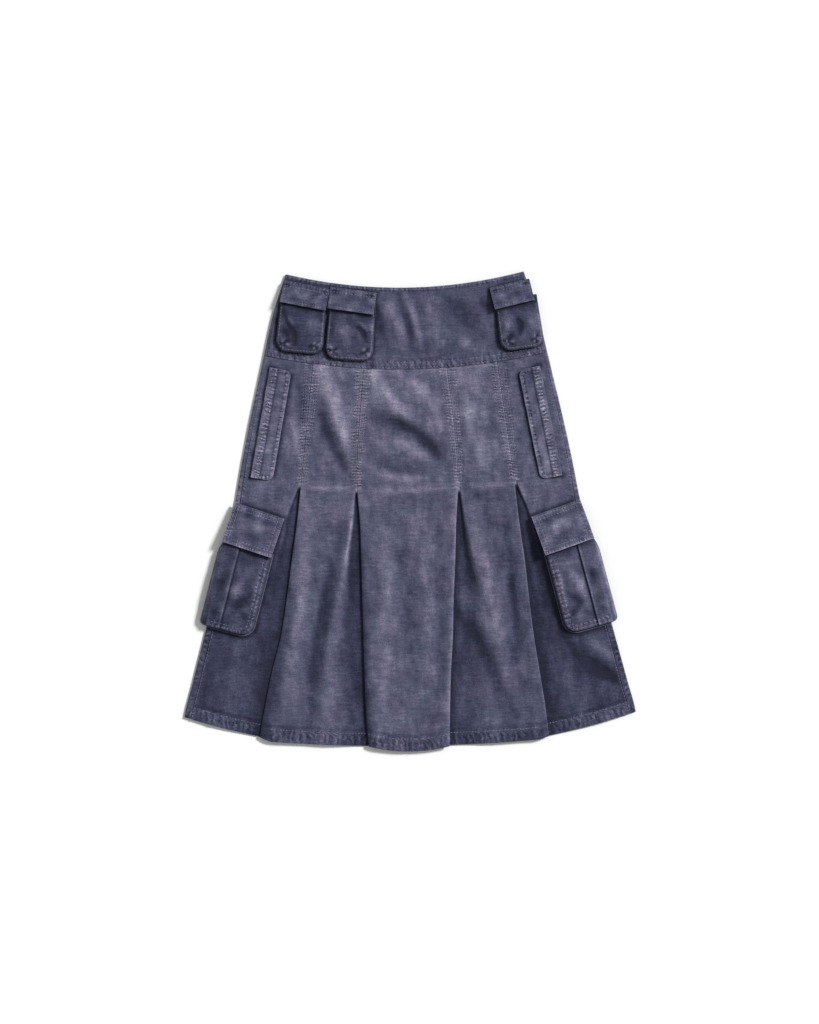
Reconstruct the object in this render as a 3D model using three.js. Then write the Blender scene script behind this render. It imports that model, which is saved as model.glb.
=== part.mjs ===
import * as THREE from 'three';

// A cargo utility skirt of cotton twill, lying flat on its back panels with the front up.
// Millimetres. +X to the right of the laid skirt, +Y to the waist, +Z off the surface.
// The origin is the middle of the outline, on the surface.

// Cloth and seams
const GAP = 0.3;
const SKIRT_CLOTH = 1.2;
const YOKE_CLOTH = 1.8;
const POCKET_CLOTH = 1.2;
const FLAP_CLOTH = 1.6;
const SIDE_FLAP_CLOTH = 2.0;
const GUSSET_CLOTH = 1.5;
const HEM_TURN = 20;
const HEM_EXTRA = 0.5;
const ZIP = { tape: 1, half: 11, belowWaist: 4, lowerEnd: 158 };

// Heights of the middle of each wall above the surface
const ZIP_Z = YOKE_CLOTH + GAP + ZIP.tape / 2;
const YOKE_FRONT_Z = YOKE_CLOTH + GAP + ZIP.tape + GAP + YOKE_CLOTH / 2;
const UNDERLAY_Z = SKIRT_CLOTH + GAP + SKIRT_CLOTH / 2;
const FOLD_RADIUS = (SKIRT_CLOTH + GAP) / 2;

// Level curves, y = mid + sag * x * x, as the rows of the cut run across the laid skirt
const WAIST = { mid: 336.2, sag: 0.0007 };
const YOKE_SEAM = { mid: 214, sag: 0.00052 };
const RELEASE = { mid: 31, sag: 0.00044 };
const HEMS = {
  centre: { mid: -358.4, sag: 0.0021 },
  middle: { mid: -350.5, sag: 0.00021 },
  side: { mid: -358.4, sag: 0.000483 },
  back: { mid: -349, sag: 0.0004 },
};

// Where the hem of a middle panel starts to run into that of the side panel, and over what width
const HEM_JOIN = { left: 206, right: 188, width: 24 };

// The side edge: half the width of the laid skirt, and how far the back wraps on to the front
const SIDE_EDGE = [
  { y: 370, half: 174.6, wrap: 3.6 },
  { y: 358, half: 178.8, wrap: 3.6 },
  { y: 309, half: 195.5, wrap: 3.8 },
  { y: 237, half: 212.6, wrap: 4.2 },
  { y: 209, half: 219, wrap: 4.6 },
  { y: 115, half: 240, wrap: 5.4 },
  { y: 70, half: 249, wrap: 6 },
  { y: 10, half: 260, wrap: 7 },
  { y: -185, half: 308, wrap: 9 },
  { y: -250, half: 325, wrap: 9.5 },
  { y: -310, half: 339.8, wrap: 10 },
];

// The folded edges of the four inverted pleats: edge to edge above the release, free below it
const PLEAT_FOLDS = [
  { y: 230, outerLeft: -138.5, innerLeft: -62.5, innerRight: 60.5, outerRight: 136 },
  { y: 34, outerLeft: -160.5, innerLeft: -75, innerRight: 75.5, outerRight: 161.5 },
  { y: -17, outerLeft: -166.5, innerLeft: -71.7, innerRight: 72.5, outerRight: 167 },
  { y: -73, outerLeft: -175, innerLeft: -70.5, innerRight: 70.3, outerRight: 174.4 },
  { y: -131, outerLeft: -183.4, innerLeft: -69.7, innerRight: 67.2, outerRight: 180.3 },
  { y: -190, outerLeft: -193.8, innerLeft: -68.8, innerRight: 65.2, outerRight: 187 },
  { y: -236, outerLeft: -206.3, innerLeft: -68, innerRight: 62, outerRight: 194 },
  { y: -286, outerLeft: -217, innerLeft: -66.8, innerRight: 60.1, outerRight: 201.6 },
  { y: -350, outerLeft: -229, innerLeft: -62.9, innerRight: 58.4, outerRight: 209 },
];

// Each pleat by its distance down from the release: how wide the underlay shows, how wide the
// step up to the next panel is, and how far the underlay is tucked under the folded edge
const PLEAT_OPENING = [
  { down: 0, outerLeft: 3, innerLeft: 3, innerRight: 3, outerRight: 3, step: 2.4, tuck: -0.3 },
  { down: 12, outerLeft: 6, innerLeft: 5, innerRight: 5, outerRight: 6, step: 3, tuck: 4 },
  { down: 42, outerLeft: 14, innerLeft: 9.5, innerRight: 10, outerRight: 14.5, step: 4, tuck: 8 },
  { down: 88, outerLeft: 18, innerLeft: 18, innerRight: 16, outerRight: 19, step: 7, tuck: 12 },
  { down: 136, outerLeft: 25.5, innerLeft: 24, innerRight: 29, outerRight: 27, step: 14, tuck: 15 },
  { down: 198, outerLeft: 32, innerLeft: 30, innerRight: 38, outerRight: 36, step: 30, tuck: 18 },
  { down: 270, outerLeft: 36, innerLeft: 34, innerRight: 42, outerRight: 40, step: 48, tuck: 20 },
  { down: 400, outerLeft: 39, innerLeft: 37, innerRight: 45, outerRight: 42, step: 60, tuck: 22 },
];

// Heights of the front by distance down from the release: the flat of the centre panel and of the
// middle panels, their folded edges, the crest where a side panel leaves its pleat, and the back
// where it wraps on to the front
const LAYER_HEIGHTS = [
  { down: -220, centre: 4.3, middle: 4.3, fold: 4.3, crest: 4.3, wrap: YOKE_FRONT_Z },
  { down: -180, centre: 4.5, middle: 4.5, fold: 4.5, crest: 4.5, wrap: YOKE_FRONT_Z },
  { down: -40, centre: 5.1, middle: 5.1, fold: 5.3, crest: 5.2, wrap: 3.8 },
  { down: 0, centre: 5.6, middle: 5.4, fold: 5.6, crest: 5.4, wrap: 3.6 },
  { down: 90, centre: 6.3, middle: 5.6, fold: 6.6, crest: 4.6, wrap: 3.4 },
  { down: 200, centre: 6.5, middle: 5.6, fold: 7.6, crest: 4, wrap: 3.4 },
  { down: 400, centre: 6.5, middle: 5.7, fold: 8.6, crest: 3.8, wrap: 3.4 },
];

// How far from a folded edge the cloth still rises to it
const EDGE_REACH = 42;

// The largest soft folds of the front: a ridge where rise is above zero, a trough where below
const SOFT_FOLDS = [
  { x0: -123, y0: 204, x1: -85, y1: 105, rise: 2, width: 12 },
  { x0: -46, y0: 203, x1: 36, y1: 123, rise: 1.8, width: 14 },
  { x0: 36, y0: 123, x1: 55, y1: 73, rise: 1.8, width: 12 },
  { x0: -94, y0: -48, x1: -146, y1: -222, rise: -1.2, width: 13 },
  { x0: -146, y0: -222, x1: -155, y1: -320, rise: -1.2, width: 14 },
  { x0: 118, y0: -20, x1: 146, y1: -250, rise: 2, width: 13 },
  { x0: 153, y0: -27, x1: 172, y1: -225, rise: -1.1, width: 9 },
  { x0: 84, y0: -190, x1: 135, y1: -273, rise: 1.6, width: 12 },
  { x0: 236, y0: -216, x1: 318, y1: -246, rise: 2.4, width: 10 },
  { x0: -8, y0: -60, x1: 4, y1: -330, rise: 1, width: 26 },
];

// Pockets: the middle of the upper edge of the flap or bag, and its turn in degrees
const SMALL_FLAP = { depth: 33, climb: 15 };
const SMALL_BAG = { corner: 17, rise: 7.6 };
const SMALL_POCKETS = [
  { name: 'left', x: -146.4, y: 341.7, turn: -11.6, across: 69.5, bagX: -151.2, bagY: 325, bagTurn: -6 },
  { name: 'middle', x: -76.8, y: 333.3, turn: -8.6, across: 69.5, bagX: -78.2, bagY: 314.5, bagTurn: -5 },
  { name: 'right', x: 156.4, y: 340, turn: 13, across: 61, bagX: 166, bagY: 320, bagTurn: 7 },
];
const SMALL_BAG_SIZES = {
  left: { width: 70.5, length: 85 },
  middle: { width: 71, length: 86 },
  right: { width: 65, length: 78 },
};
const SIDE_FLAP = { width: 33, length: 167, corner: 10 };
const SIDE_FLAPS = [
  { name: 'left', x: -187.5, y: 216, turn: -10.6 },
  { name: 'right', x: 184.5, y: 213.5, turn: 10.8 },
];
const CARGO_FLAP = { width: 77.5, depth: 61, climb: 30 };
const CARGO_BAG = { width: 79, length: 143, corner: 18, rise: 8.4, pleatStep: 1.5, pleatAt: 9 };
const CARGO_OUTER_EDGE = { corner: 7, taper: 7, taperLength: 34, drop: 3 };
const CARGO_POCKETS = [
  { name: 'left', side: -1, x: -221.3, y: 4.5, turn: -19, bagX: -238.6, bagY: -35.5, bagTurn: -15 },
  { name: 'right', side: 1, x: 221.7, y: 3, turn: 19, bagX: 240, bagY: -36.5, bagTurn: 14.2 },
];
const GUSSET = { width: 10, showing: 3 };
const BAG_SQUARENESS = 5;

const CLOTH_COLOURS = {
  panel: '#57576c',
  yoke: '#4f4f65',
  side: '#42445a',
  pocket: '#454760',
  flap: '#5f5f73',
  tape: '#3a3c4e',
};

// Small helpers

function mix(a, b, t) {
  return a + (b - a) * t;
}

function smooth(t) {
  const s = Math.min(1, Math.max(0, t));
  return s * s * (3 - 2 * s);
}

function lookUp(table, key, at, column) {
  const rising = table[1][key] > table[0][key];
  const rows = rising ? table : [...table].reverse();
  const clamped = Math.min(rows.at(-1)[key], Math.max(rows[0][key], at));
  const after = Math.max(1, rows.findIndex((row) => row[key] >= clamped));
  const [low, high] = [rows[after - 1], rows[after]];
  return mix(low[column], high[column], (clamped - low[key]) / (high[key] - low[key]));
}

function curveY(curve, x) {
  return curve.mid + curve.sag * x * x;
}

function halfWidth(y) {
  return lookUp(SIDE_EDGE, 'y', y, 'half');
}

function height(level, x, y) {
  return lookUp(LAYER_HEIGHTS, 'down', curveY(RELEASE, x) - y, level);
}

function softFolds(x, y) {
  let rise = 0;
  for (const fold of SOFT_FOLDS) {
    const [runX, runY] = [fold.x1 - fold.x0, fold.y1 - fold.y0];
    const along = ((x - fold.x0) * runX + (y - fold.y0) * runY) / (runX * runX + runY * runY);
    const nearest = Math.min(1, Math.max(0, along));
    const away = Math.hypot(x - fold.x0 - runX * nearest, y - fold.y0 - runY * nearest);
    rise += fold.rise * Math.exp(-((away / fold.width) ** 2));
  }
  return rise;
}

// A wall of cloth through sections. Each section is a row of points { x, y, z } along the middle
// of the cloth; the wall is built to both sides of it, in the plane of x and z.
function clothWall(sections, thickness, extraOutside = () => 0) {
  const positions = [];
  sections.forEach((section, row) => {
    section.forEach((point, column) => {
      const before = section[Math.max(0, column - 1)];
      const after = section[Math.min(section.length - 1, column + 1)];
      const inTurn = unit(point.x - before.x, point.z - before.z);
      const outTurn = unit(after.x - point.x, after.z - point.z);
      const along = unit(inTurn.x + outTurn.x, inTurn.z + outTurn.z);
      const outside = thickness / 2 + extraOutside(row);
      positions.push(point.x - along.z * outside, point.y, point.z + along.x * outside);
      const inside = -thickness / 2;
      positions.push(point.x - along.z * inside, point.y, point.z + along.x * inside);
    });
  });
  return closedGrid(positions, sections.length, sections[0].length);
}

function unit(x, z) {
  const length = Math.hypot(x, z) || 1;
  return { x: x / length, z: z / length };
}

// Closes a grid of point pairs, outside then inside, into one body that faces out
function closedGrid(positions, rows, columns) {
  const index = [];
  const at = (row, column, inside) => (row * columns + column) * 2 + inside;
  const face = (a, b, c, d) => index.push(a, b, c, a, c, d);
  for (let row = 0; row < rows - 1; row++) {
    for (let column = 0; column < columns - 1; column++) {
      face(at(row, column, 0), at(row + 1, column, 0), at(row + 1, column + 1, 0), at(row, column + 1, 0));
      face(at(row, column, 1), at(row, column + 1, 1), at(row + 1, column + 1, 1), at(row + 1, column, 1));
    }
    const last = columns - 1;
    face(at(row, 0, 0), at(row, 0, 1), at(row + 1, 0, 1), at(row + 1, 0, 0));
    face(at(row, last, 0), at(row + 1, last, 0), at(row + 1, last, 1), at(row, last, 1));
  }
  for (let column = 0; column < columns - 1; column++) {
    const last = rows - 1;
    face(at(0, column, 0), at(0, column + 1, 0), at(0, column + 1, 1), at(0, column, 1));
    face(at(last, column, 0), at(last, column, 1), at(last, column + 1, 1), at(last, column + 1, 0));
  }
  const geometry = new THREE.BufferGeometry();
  geometry.setAttribute('position', new THREE.Float32BufferAttribute(positions, 3));
  geometry.setIndex(index);
  if (signedVolume(geometry) < 0) {
    geometry.setIndex(index.toReversed());
  }
  geometry.computeVertexNormals();
  return geometry;
}

function signedVolume(geometry) {
  const points = geometry.getAttribute('position');
  const index = geometry.getIndex().array;
  const [a, b, c] = [new THREE.Vector3(), new THREE.Vector3(), new THREE.Vector3()];
  let volume = 0;
  for (let i = 0; i < index.length; i += 3) {
    a.fromBufferAttribute(points, index[i]);
    b.fromBufferAttribute(points, index[i + 1]);
    c.fromBufferAttribute(points, index[i + 2]);
    volume += a.dot(b.cross(c)) / 6;
  }
  return volume;
}

function hemY(hem, x) {
  const line = curveY(HEMS[hem], x);
  if (hem !== 'middle') {
    return line;
  }
  const start = x < 0 ? HEM_JOIN.left : HEM_JOIN.right;
  return mix(line, curveY(HEMS.side, x), smooth((Math.abs(x) - start) / HEM_JOIN.width));
}

// Rows of the cut. Upper rows run from the yoke seam to the release, lower rows from the release
// to the hem, and the last three make the step of the turned hem.
const SKIRT_ROWS = [
  ...[0, 0.3, 0.6, 0.85, 0.97].map((share) => ({ upper: true, share })),
  ...[0, 0.025, 0.09, 0.19, 0.31, 0.44, 0.57, 0.7, 0.81, 0.9].map((share) => ({ share })),
  { hem: true, above: HEM_TURN + 0.6 },
  { hem: true, above: HEM_TURN },
  { hem: true, above: 0 },
];
const YOKE_ROWS = [0, 0.25, 0.5, 0.75, 1].map((share) => ({ yoke: true, share }));

function rowY(row, x, hem) {
  if (row.yoke) {
    return mix(curveY(WAIST, x), curveY(YOKE_SEAM, x) + GAP / 2, row.share);
  }
  if (row.upper) {
    return mix(curveY(YOKE_SEAM, x) - GAP / 2, curveY(RELEASE, x), row.share);
  }
  if (row.hem) {
    return hemY(hem, x) + row.above;
  }
  return mix(curveY(RELEASE, x), hemY(hem, x), row.share);
}

function hemExtra(row) {
  return SKIRT_ROWS[row].hem && SKIRT_ROWS[row].above <= HEM_TURN ? HEM_EXTRA : 0;
}

// Where a row meets a line given as x for each y
function crossing(row, hem, lineX, startX) {
  let x = startX;
  for (let turn = 0; turn < 6; turn++) {
    x = lineX(rowY(row, x, hem));
  }
  return x;
}

function foldX(row, hem, pleat) {
  return crossing(row, hem, (y) => lookUp(PLEAT_FOLDS, 'y', y, pleat), PLEAT_FOLDS[3][pleat]);
}

function sideX(row, hem, side) {
  return crossing(row, hem, (y) => side * halfWidth(y), side * 250);
}

function openingAt(pleat, x, y, column) {
  return lookUp(PLEAT_OPENING, 'down', curveY(RELEASE, x) - y, column ?? pleat);
}

function foldCentreX(row, hem, pleat, side) {
  return foldX(row, hem, pleat) - side * (FOLD_RADIUS + SKIRT_CLOTH / 2);
}

// The folded edge of a panel: its return, which keeps to the points of the panel over it, then the
// half turn up to the panel. side is -1 where the edge points left. Points run from the hidden end.
function foldedEdge(row, hem, pleat, side, over) {
  const edge = foldX(row, hem, pleat);
  const top = height('fold', edge, rowY(row, edge, hem));
  const centreX = foldCentreX(row, hem, pleat, side);
  const points = over.map((point) => ({ x: point.x, z: point.z - 2 * FOLD_RADIUS }));
  for (let step = 0; step <= 4; step++) {
    const angle = (-Math.PI / 2) + (step / 4) * Math.PI;
    points.push({
      x: centreX + side * FOLD_RADIUS * Math.cos(angle),
      z: top - FOLD_RADIUS + FOLD_RADIUS * Math.sin(angle),
    });
  }
  return points.map((point) => ({ ...point, y: rowY(row, point.x, hem) }));
}

// The other side of a pleat: the underlay, tucked under the folded edge, and its step up to the
// panel that it belongs to. side is -1 where that panel lies to the left.
function underlay(row, hem, pleat, side, level) {
  const edge = foldX(row, hem, pleat);
  const y = rowY(row, edge, hem);
  const shown = openingAt(pleat, edge, y);
  const step = openingAt(pleat, edge, y, 'step');
  const foot = shown - step / 2;
  const offsets = [-openingAt(pleat, edge, y, 'tuck'), Math.min(1, foot / 2), foot, shown, shown + step / 2];
  const climbs = row.upper ? [1, 1, 1, 1, 1] : [0, 0, 0, 0.5, 1];
  const crest = height(level, edge, y);
  return offsets.map((offset, i) => {
    const x = edge + side * offset;
    return { x, y: rowY(row, x, hem), z: mix(UNDERLAY_Z, crest, climbs[i]) };
  });
}

function leftToRight(section) {
  return section[0].x < section.at(-1).x ? section : section.toReversed();
}

function between(from, to, count) {
  return Array.from({ length: count }, (_, i) => mix(from, to, (i + 1) / (count + 1)));
}

// Height of a front panel, 'centre' or 'middle', rising to the folded edges named in the list
function panelZ(row, panel, x, foldedPleats) {
  const y = rowY(row, x, panel);
  const flat = height(panel, x, y);
  let lift = 0;
  for (const pleat of foldedPleats) {
    const away = Math.abs(x - foldX(row, panel, pleat));
    lift = Math.max(lift, Math.max(0, 1 - away / EDGE_REACH) ** 2);
  }
  return flat + (height('fold', x, y) - flat) * lift + softFolds(x, y) * (1 - lift);
}

function centrePanel() {
  const pleats = ['innerLeft', 'innerRight'];
  const shares = [0.06, 0.18, 0.34, 0.5, 0.66, 0.82, 0.94];
  const sections = SKIRT_ROWS.map((row) => {
    const from = foldCentreX(row, 'centre', pleats[0], -1);
    const to = foldCentreX(row, 'centre', pleats[1], 1);
    const across = shares.map((share) => {
      const x = mix(from, to, share);
      return { x, y: rowY(row, x, 'centre'), z: panelZ(row, 'centre', x, pleats) };
    });
    const left = foldedEdge(row, 'centre', pleats[0], -1, [across[1], across[0]]);
    const right = foldedEdge(row, 'centre', pleats[1], 1, [across.at(-2), across.at(-1)]);
    return [...left, ...across, ...right.reverse()];
  });
  return clothWall(sections, SKIRT_CLOTH, hemExtra);
}

function middlePanel(side) {
  const [inner, outer] = side < 0 ? ['innerLeft', 'outerLeft'] : ['innerRight', 'outerRight'];
  const shares = [0.14, 0.32, 0.5, 0.68, 0.85, 0.95];
  const sections = SKIRT_ROWS.map((row) => {
    const tucked = underlay(row, 'middle', inner, side, 'middle');
    const crest = tucked.at(-1);
    const to = foldCentreX(row, 'middle', outer, side);
    const flatAtCrest = panelZ(row, 'middle', crest.x, [outer]);
    const across = shares.map((share) => {
      const x = mix(crest.x, to, share);
      const settle = (crest.z - flatAtCrest) * (1 - smooth(share * 2));
      return { x, y: rowY(row, x, 'middle'), z: panelZ(row, 'middle', x, [outer]) + settle };
    });
    const folded = foldedEdge(row, 'middle', outer, side, [across.at(-2), across.at(-1)]);
    return leftToRight([...tucked, ...across, ...folded.reverse()]);
  });
  return clothWall(sections, SKIRT_CLOTH, hemExtra);
}

// A side panel falls from its crest beside the pleat to the seam where the back wraps round
function sidePanelZ(row, x, crest, seam) {
  const y = rowY(row, x, 'side');
  const share = (x - crest.x) / (seam - crest.x);
  return mix(crest.z, height('wrap', x, y), smooth(share)) + softFolds(x, y) * Math.sin(Math.PI * share);
}

function seamX(row, hem, side) {
  const edge = sideX(row, hem, side);
  return edge - side * lookUp(SIDE_EDGE, 'y', rowY(row, edge, hem), 'wrap');
}

function sidePanel(side) {
  const pleat = side < 0 ? 'outerLeft' : 'outerRight';
  const shares = [0.2, 0.42, 0.62, 0.8, 1];
  const sections = SKIRT_ROWS.map((row) => {
    const tucked = underlay(row, 'side', pleat, side, 'crest');
    const crest = tucked.at(-1);
    const seam = seamX(row, 'side', side) - side * GAP;
    const across = shares.map((share) => {
      const x = mix(crest.x, seam, share);
      return { x, y: rowY(row, x, 'side'), z: sidePanelZ(row, x, crest, seam) };
    });
    return leftToRight([...tucked, ...across]);
  });
  return clothWall(sections, SKIRT_CLOTH, hemExtra);
}

// A back piece: flat on the surface from the centre-back seam, then round the side edge
function backPiece(side, rows, cloth, hem, seamHem) {
  const shares = [0, 0.3, 0.6, 0.85];
  const middle = cloth / 2;
  const sections = rows.map((row) => {
    const edge = sideX(row, hem, side);
    const top = row.yoke ? YOKE_FRONT_Z : height('wrap', edge, rowY(row, edge, hem));
    const radius = (top - middle) / 2;
    const centreX = edge - side * (radius + middle);
    const flat = shares.map((share) => ({ x: mix(side * GAP / 2, centreX, share), z: middle }));
    const turn = [];
    for (let step = 0; step <= 6; step++) {
      const angle = (-Math.PI / 2) + (step / 6) * Math.PI;
      turn.push({
        x: centreX + side * radius * Math.cos(angle),
        z: middle + radius + radius * Math.sin(angle),
      });
    }
    const end = { x: seamX(row, seamHem, side), z: top };
    return [...flat, ...turn, end].map((point) => ({ ...point, y: rowY(row, point.x, hem) }));
  });
  return clothWall(sections, cloth);
}

function frontYoke() {
  const count = 13;
  const sections = YOKE_ROWS.map((row) => {
    const [from, to] = [seamX(row, 'side', -1) + GAP, seamX(row, 'side', 1) - GAP];
    return Array.from({ length: count }, (_, i) => {
      const x = mix(from, to, i / (count - 1));
      return { x, y: rowY(row, x, 'side'), z: YOKE_FRONT_Z };
    });
  });
  return clothWall(sections, YOKE_CLOTH);
}

function zipTape() {
  const upperEnd = curveY(WAIST, 0) - ZIP.belowWaist;
  const sections = [upperEnd, mix(upperEnd, ZIP.lowerEnd, 0.5), ZIP.lowerEnd].map((y) =>
    [-ZIP.half, 0, ZIP.half].map((x) => ({ x, y, z: ZIP_Z })));
  return clothWall(sections, ZIP.tape);
}

// Pockets lie in their own frame: across to the right, down from the upper edge
function place(pocket, across, down) {
  const turn = THREE.MathUtils.degToRad(pocket.turn);
  return {
    x: pocket.x + across * Math.cos(turn) + down * Math.sin(turn),
    y: pocket.y + across * Math.sin(turn) - down * Math.cos(turn),
  };
}

// Top of the cloth that a pocket is sewn to
function topUnder(x, y) {
  if (y > curveY(YOKE_SEAM, x)) {
    return YOKE_FRONT_Z + YOKE_CLOTH / 2;
  }
  const side = Math.sign(x);
  const pleat = side < 0 ? 'outerLeft' : 'outerRight';
  const edge = lookUp(PLEAT_FOLDS, 'y', y, pleat);
  const crestX = edge + side * (openingAt(pleat, edge, y) + openingAt(pleat, edge, y, 'step') / 2);
  const seam = side * (halfWidth(y) - lookUp(SIDE_EDGE, 'y', y, 'wrap') - GAP);
  const share = Math.min(1, Math.max(0, (x - crestX) / (seam - crestX)));
  const cloth = mix(height('crest', edge, y), height('wrap', x, y), smooth(share));
  return cloth + softFolds(x, y) * Math.sin(Math.PI * share) + SKIRT_CLOTH / 2;
}

// Half the width of a bag at a distance down from its upper edge, with round lower corners. The
// outer edge of a cargo bag has its own corner and draws in under the flap.
function halfBag(shape, share, down) {
  const outer = shape.outer && share * shape.side > 0 ? shape.outer : null;
  const corner = outer ? outer.corner : shape.corner;
  const drawnIn = outer ? outer.taper * (1 - smooth(down / outer.taperLength)) : 0;
  const into = Math.max(0, down - (shape.length - corner));
  return shape.width / 2 - drawnIn - corner + Math.sqrt(Math.max(0, corner * corner - into * into));
}

function cornerRows(length, corner, shares) {
  const straight = shares.map((share) => share * (length - corner));
  const round = [25, 48, 70, 90].map((angle) => length - corner + corner * Math.sin(angle * Math.PI / 180));
  return [...straight, ...round];
}

function squared(share) {
  return Math.max(0, 1 - Math.abs(share) ** BAG_SQUARENESS) ** (1 / BAG_SQUARENESS);
}

// A bag: a puffed wall, open at its upper edge, whose rim stands on what it is sewn to and whose
// crown lies level over it
function bag(pocket, shape, rimZ, baseZ, stepUp) {
  const downs = cornerRows(shape.length, shape.corner, [0, 0.3, 0.62, 0.88]);
  const oneSide = [0.42, 0.8, 0.95, 1];
  const shares = [0, ...oneSide, ...oneSide.map((share) => -share), ...shape.extraShares];
  shares.sort((a, b) => a - b);
  const positions = [];
  for (const down of downs) {
    const lengthwise = squared(down / shape.length);
    for (const share of shares) {
      const lift = squared(share) * lengthwise;
      for (const inset of [0, POCKET_CLOTH]) {
        const half = halfBag(shape, share, down) - inset;
        const inner = down * (1 - inset / shape.length);
        const { x, y } = place(pocket, share * half, inner);
        const stepped = inset === 0 ? stepUp(share * half) * Math.min(1, lift * 2) : 0;
        const crown = baseZ(x, y) + shape.rise - inset + stepped;
        positions.push(x, y, mix(rimZ(x, y), crown, lift));
      }
    }
  }
  return closedGrid(positions, downs.length, shares.length);
}

// A flap: a flat wall sewn along its upper edge, lying over the bag
function flap(pocket, shape, under, lift) {
  const downs = [0, 0.12, 0.26, 0.42, 0.62, 0.82, 1].map((share) => share * shape.depth);
  const shares = [-1, -0.7, -0.35, 0, 0.35, 0.7, 1];
  const sections = downs.map((down) => shares.map((share) => {
    const { x, y } = place(pocket, (share * shape.width) / 2, down);
    const rise = lift * smooth(down / shape.climb) * (1 - 0.1 * share ** 4);
    return { x, y, z: under(x, y) + GAP + FLAP_CLOTH / 2 + rise };
  }));
  return clothWall(sections, FLAP_CLOTH);
}

function smallBag(pocket) {
  const frame = { x: pocket.bagX, y: pocket.bagY, turn: pocket.bagTurn };
  const shape = { ...SMALL_BAG, ...SMALL_BAG_SIZES[pocket.name], extraShares: [] };
  const sewnAt = (x, y) => topUnder(x, y) + GAP;
  return bag(frame, shape, sewnAt, sewnAt, () => 0);
}

function smallFlap(pocket) {
  const shape = { ...SMALL_FLAP, width: pocket.across };
  return flap(pocket, shape, () => YOKE_FRONT_Z + YOKE_CLOTH / 2, SMALL_BAG.rise + GAP);
}

function sideFlap(pocket) {
  const { width, length, corner } = SIDE_FLAP;
  const side = Math.sign(pocket.x);
  const ends = [0, 12, 32, 58, 90].map((angle) => corner * (1 - Math.cos(angle * Math.PI / 180)));
  const middles = between(corner, length - corner, 5);
  const downs = [...ends, ...middles, ...ends.map((end) => length - end).reverse()];
  const sections = downs.map((down) => {
    const into = Math.max(0, corner - Math.min(down, length - down));
    const rounded = corner - Math.sqrt(corner * corner - into * into);
    const [from, to] = side < 0 ? [-width / 2, width / 2 - rounded] : [-width / 2 + rounded, width / 2];
    return [0, 0.25, 0.5, 0.75, 1].map((share) => {
      const { x, y } = place(pocket, mix(from, to, share), down);
      return { x, y, z: topUnder(x, y) + GAP + SIDE_FLAP_CLOTH / 2 };
    });
  });
  return clothWall(sections, SIDE_FLAP_CLOTH);
}

function cargoBag(pocket) {
  const frame = { x: pocket.bagX, y: pocket.bagY, turn: pocket.bagTurn };
  const half = CARGO_BAG.width / 2;
  const pleat = pocket.side * CARGO_BAG.pleatAt;
  const extraShares = [pleat - 0.3, pleat + 0.3].map((across) => across / half);
  const shape = { ...CARGO_BAG, extraShares, side: pocket.side, outer: CARGO_OUTER_EDGE };
  const onGusset = (x, y) => topUnder(x, y) + 2 * GAP + GUSSET_CLOTH;
  const rimZ = (x, y) => {
    const past = Math.abs(x) - halfWidth(y) - GAP;
    return mix(onGusset(x, y), GAP, smooth(past / CARGO_OUTER_EDGE.drop));
  };
  const stepUp = (across) => (pocket.side * (across - pleat) > 0 ? CARGO_BAG.pleatStep : 0);
  return bag(frame, shape, rimZ, onGusset, stepUp);
}

function cargoFlap(pocket) {
  const under = (x, y) => topUnder(x, y) + 2 * GAP + GUSSET_CLOTH;
  return flap(pocket, CARGO_FLAP, under, CARGO_BAG.rise + CARGO_BAG.pleatStep);
}

// The folded gusset strip, lying under the rim of the bag along its inner side and its bottom
function cargoGusset(pocket) {
  const frame = { x: pocket.bagX, y: pocket.bagY, turn: pocket.bagTurn };
  const { width, length, corner } = CARGO_BAG;
  const inner = -pocket.side;
  const path = [];
  for (const share of [0.12, 0.35, 0.6, 0.85, 1]) {
    path.push({ across: width / 2, down: share * (length - corner), outX: 1, outY: 0 });
  }
  for (const angle of [22, 45, 68, 90]) {
    const [c, s] = [Math.cos(angle * Math.PI / 180), Math.sin(angle * Math.PI / 180)];
    const [across, down] = [width / 2 - corner * (1 - c), length - corner * (1 - s)];
    path.push({ across, down, outX: c, outY: s });
  }
  for (const share of [0.4, 0.72]) {
    path.push({ across: width / 2 - corner - share * (width - corner), down: length, outX: 0, outY: 1 });
  }
  const positions = [];
  for (const station of path) {
    for (const reach of [GUSSET.showing, GUSSET.showing - GUSSET.width]) {
      const across = inner * (station.across + station.outX * reach);
      const { x, y } = place(frame, across, station.down + station.outY * reach);
      const bottom = topUnder(x, y) + GAP;
      positions.push(x, y, bottom + GUSSET_CLOTH, x, y, bottom);
    }
  }
  return closedGrid(positions, path.length, 2);
}

// The skirt, piece by piece

const skirt = new THREE.Group();

function sew(name, geometry, colour, roughness = 0.9) {
  const cloth = new THREE.MeshStandardMaterial({ color: colour, roughness, metalness: 0 });
  const piece = new THREE.Mesh(geometry, cloth);
  piece.name = name;
  skirt.add(piece);
}

sew('front_yoke', frontYoke(), CLOTH_COLOURS.yoke);
sew('front_centre', centrePanel(), CLOTH_COLOURS.panel);
for (const [name, side] of [['left', -1], ['right', 1]]) {
  sew(`back_yoke_${name}`, backPiece(side, YOKE_ROWS, YOKE_CLOTH, 'back', 'side'), CLOTH_COLOURS.yoke);
  sew(`front_middle_${name}`, middlePanel(side), CLOTH_COLOURS.panel);
  sew(`front_side_${name}`, sidePanel(side), CLOTH_COLOURS.side);
  sew(`back_${name}`, backPiece(side, SKIRT_ROWS, SKIRT_CLOTH, 'back', 'side'), CLOTH_COLOURS.side);
}
sew('back_zip', zipTape(), CLOTH_COLOURS.tape, 0.7);
for (const pocket of SMALL_POCKETS) {
  sew(`small_bag_${pocket.name}`, smallBag(pocket), CLOTH_COLOURS.pocket);
  sew(`small_flap_${pocket.name}`, smallFlap(pocket), CLOTH_COLOURS.flap);
}
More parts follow.
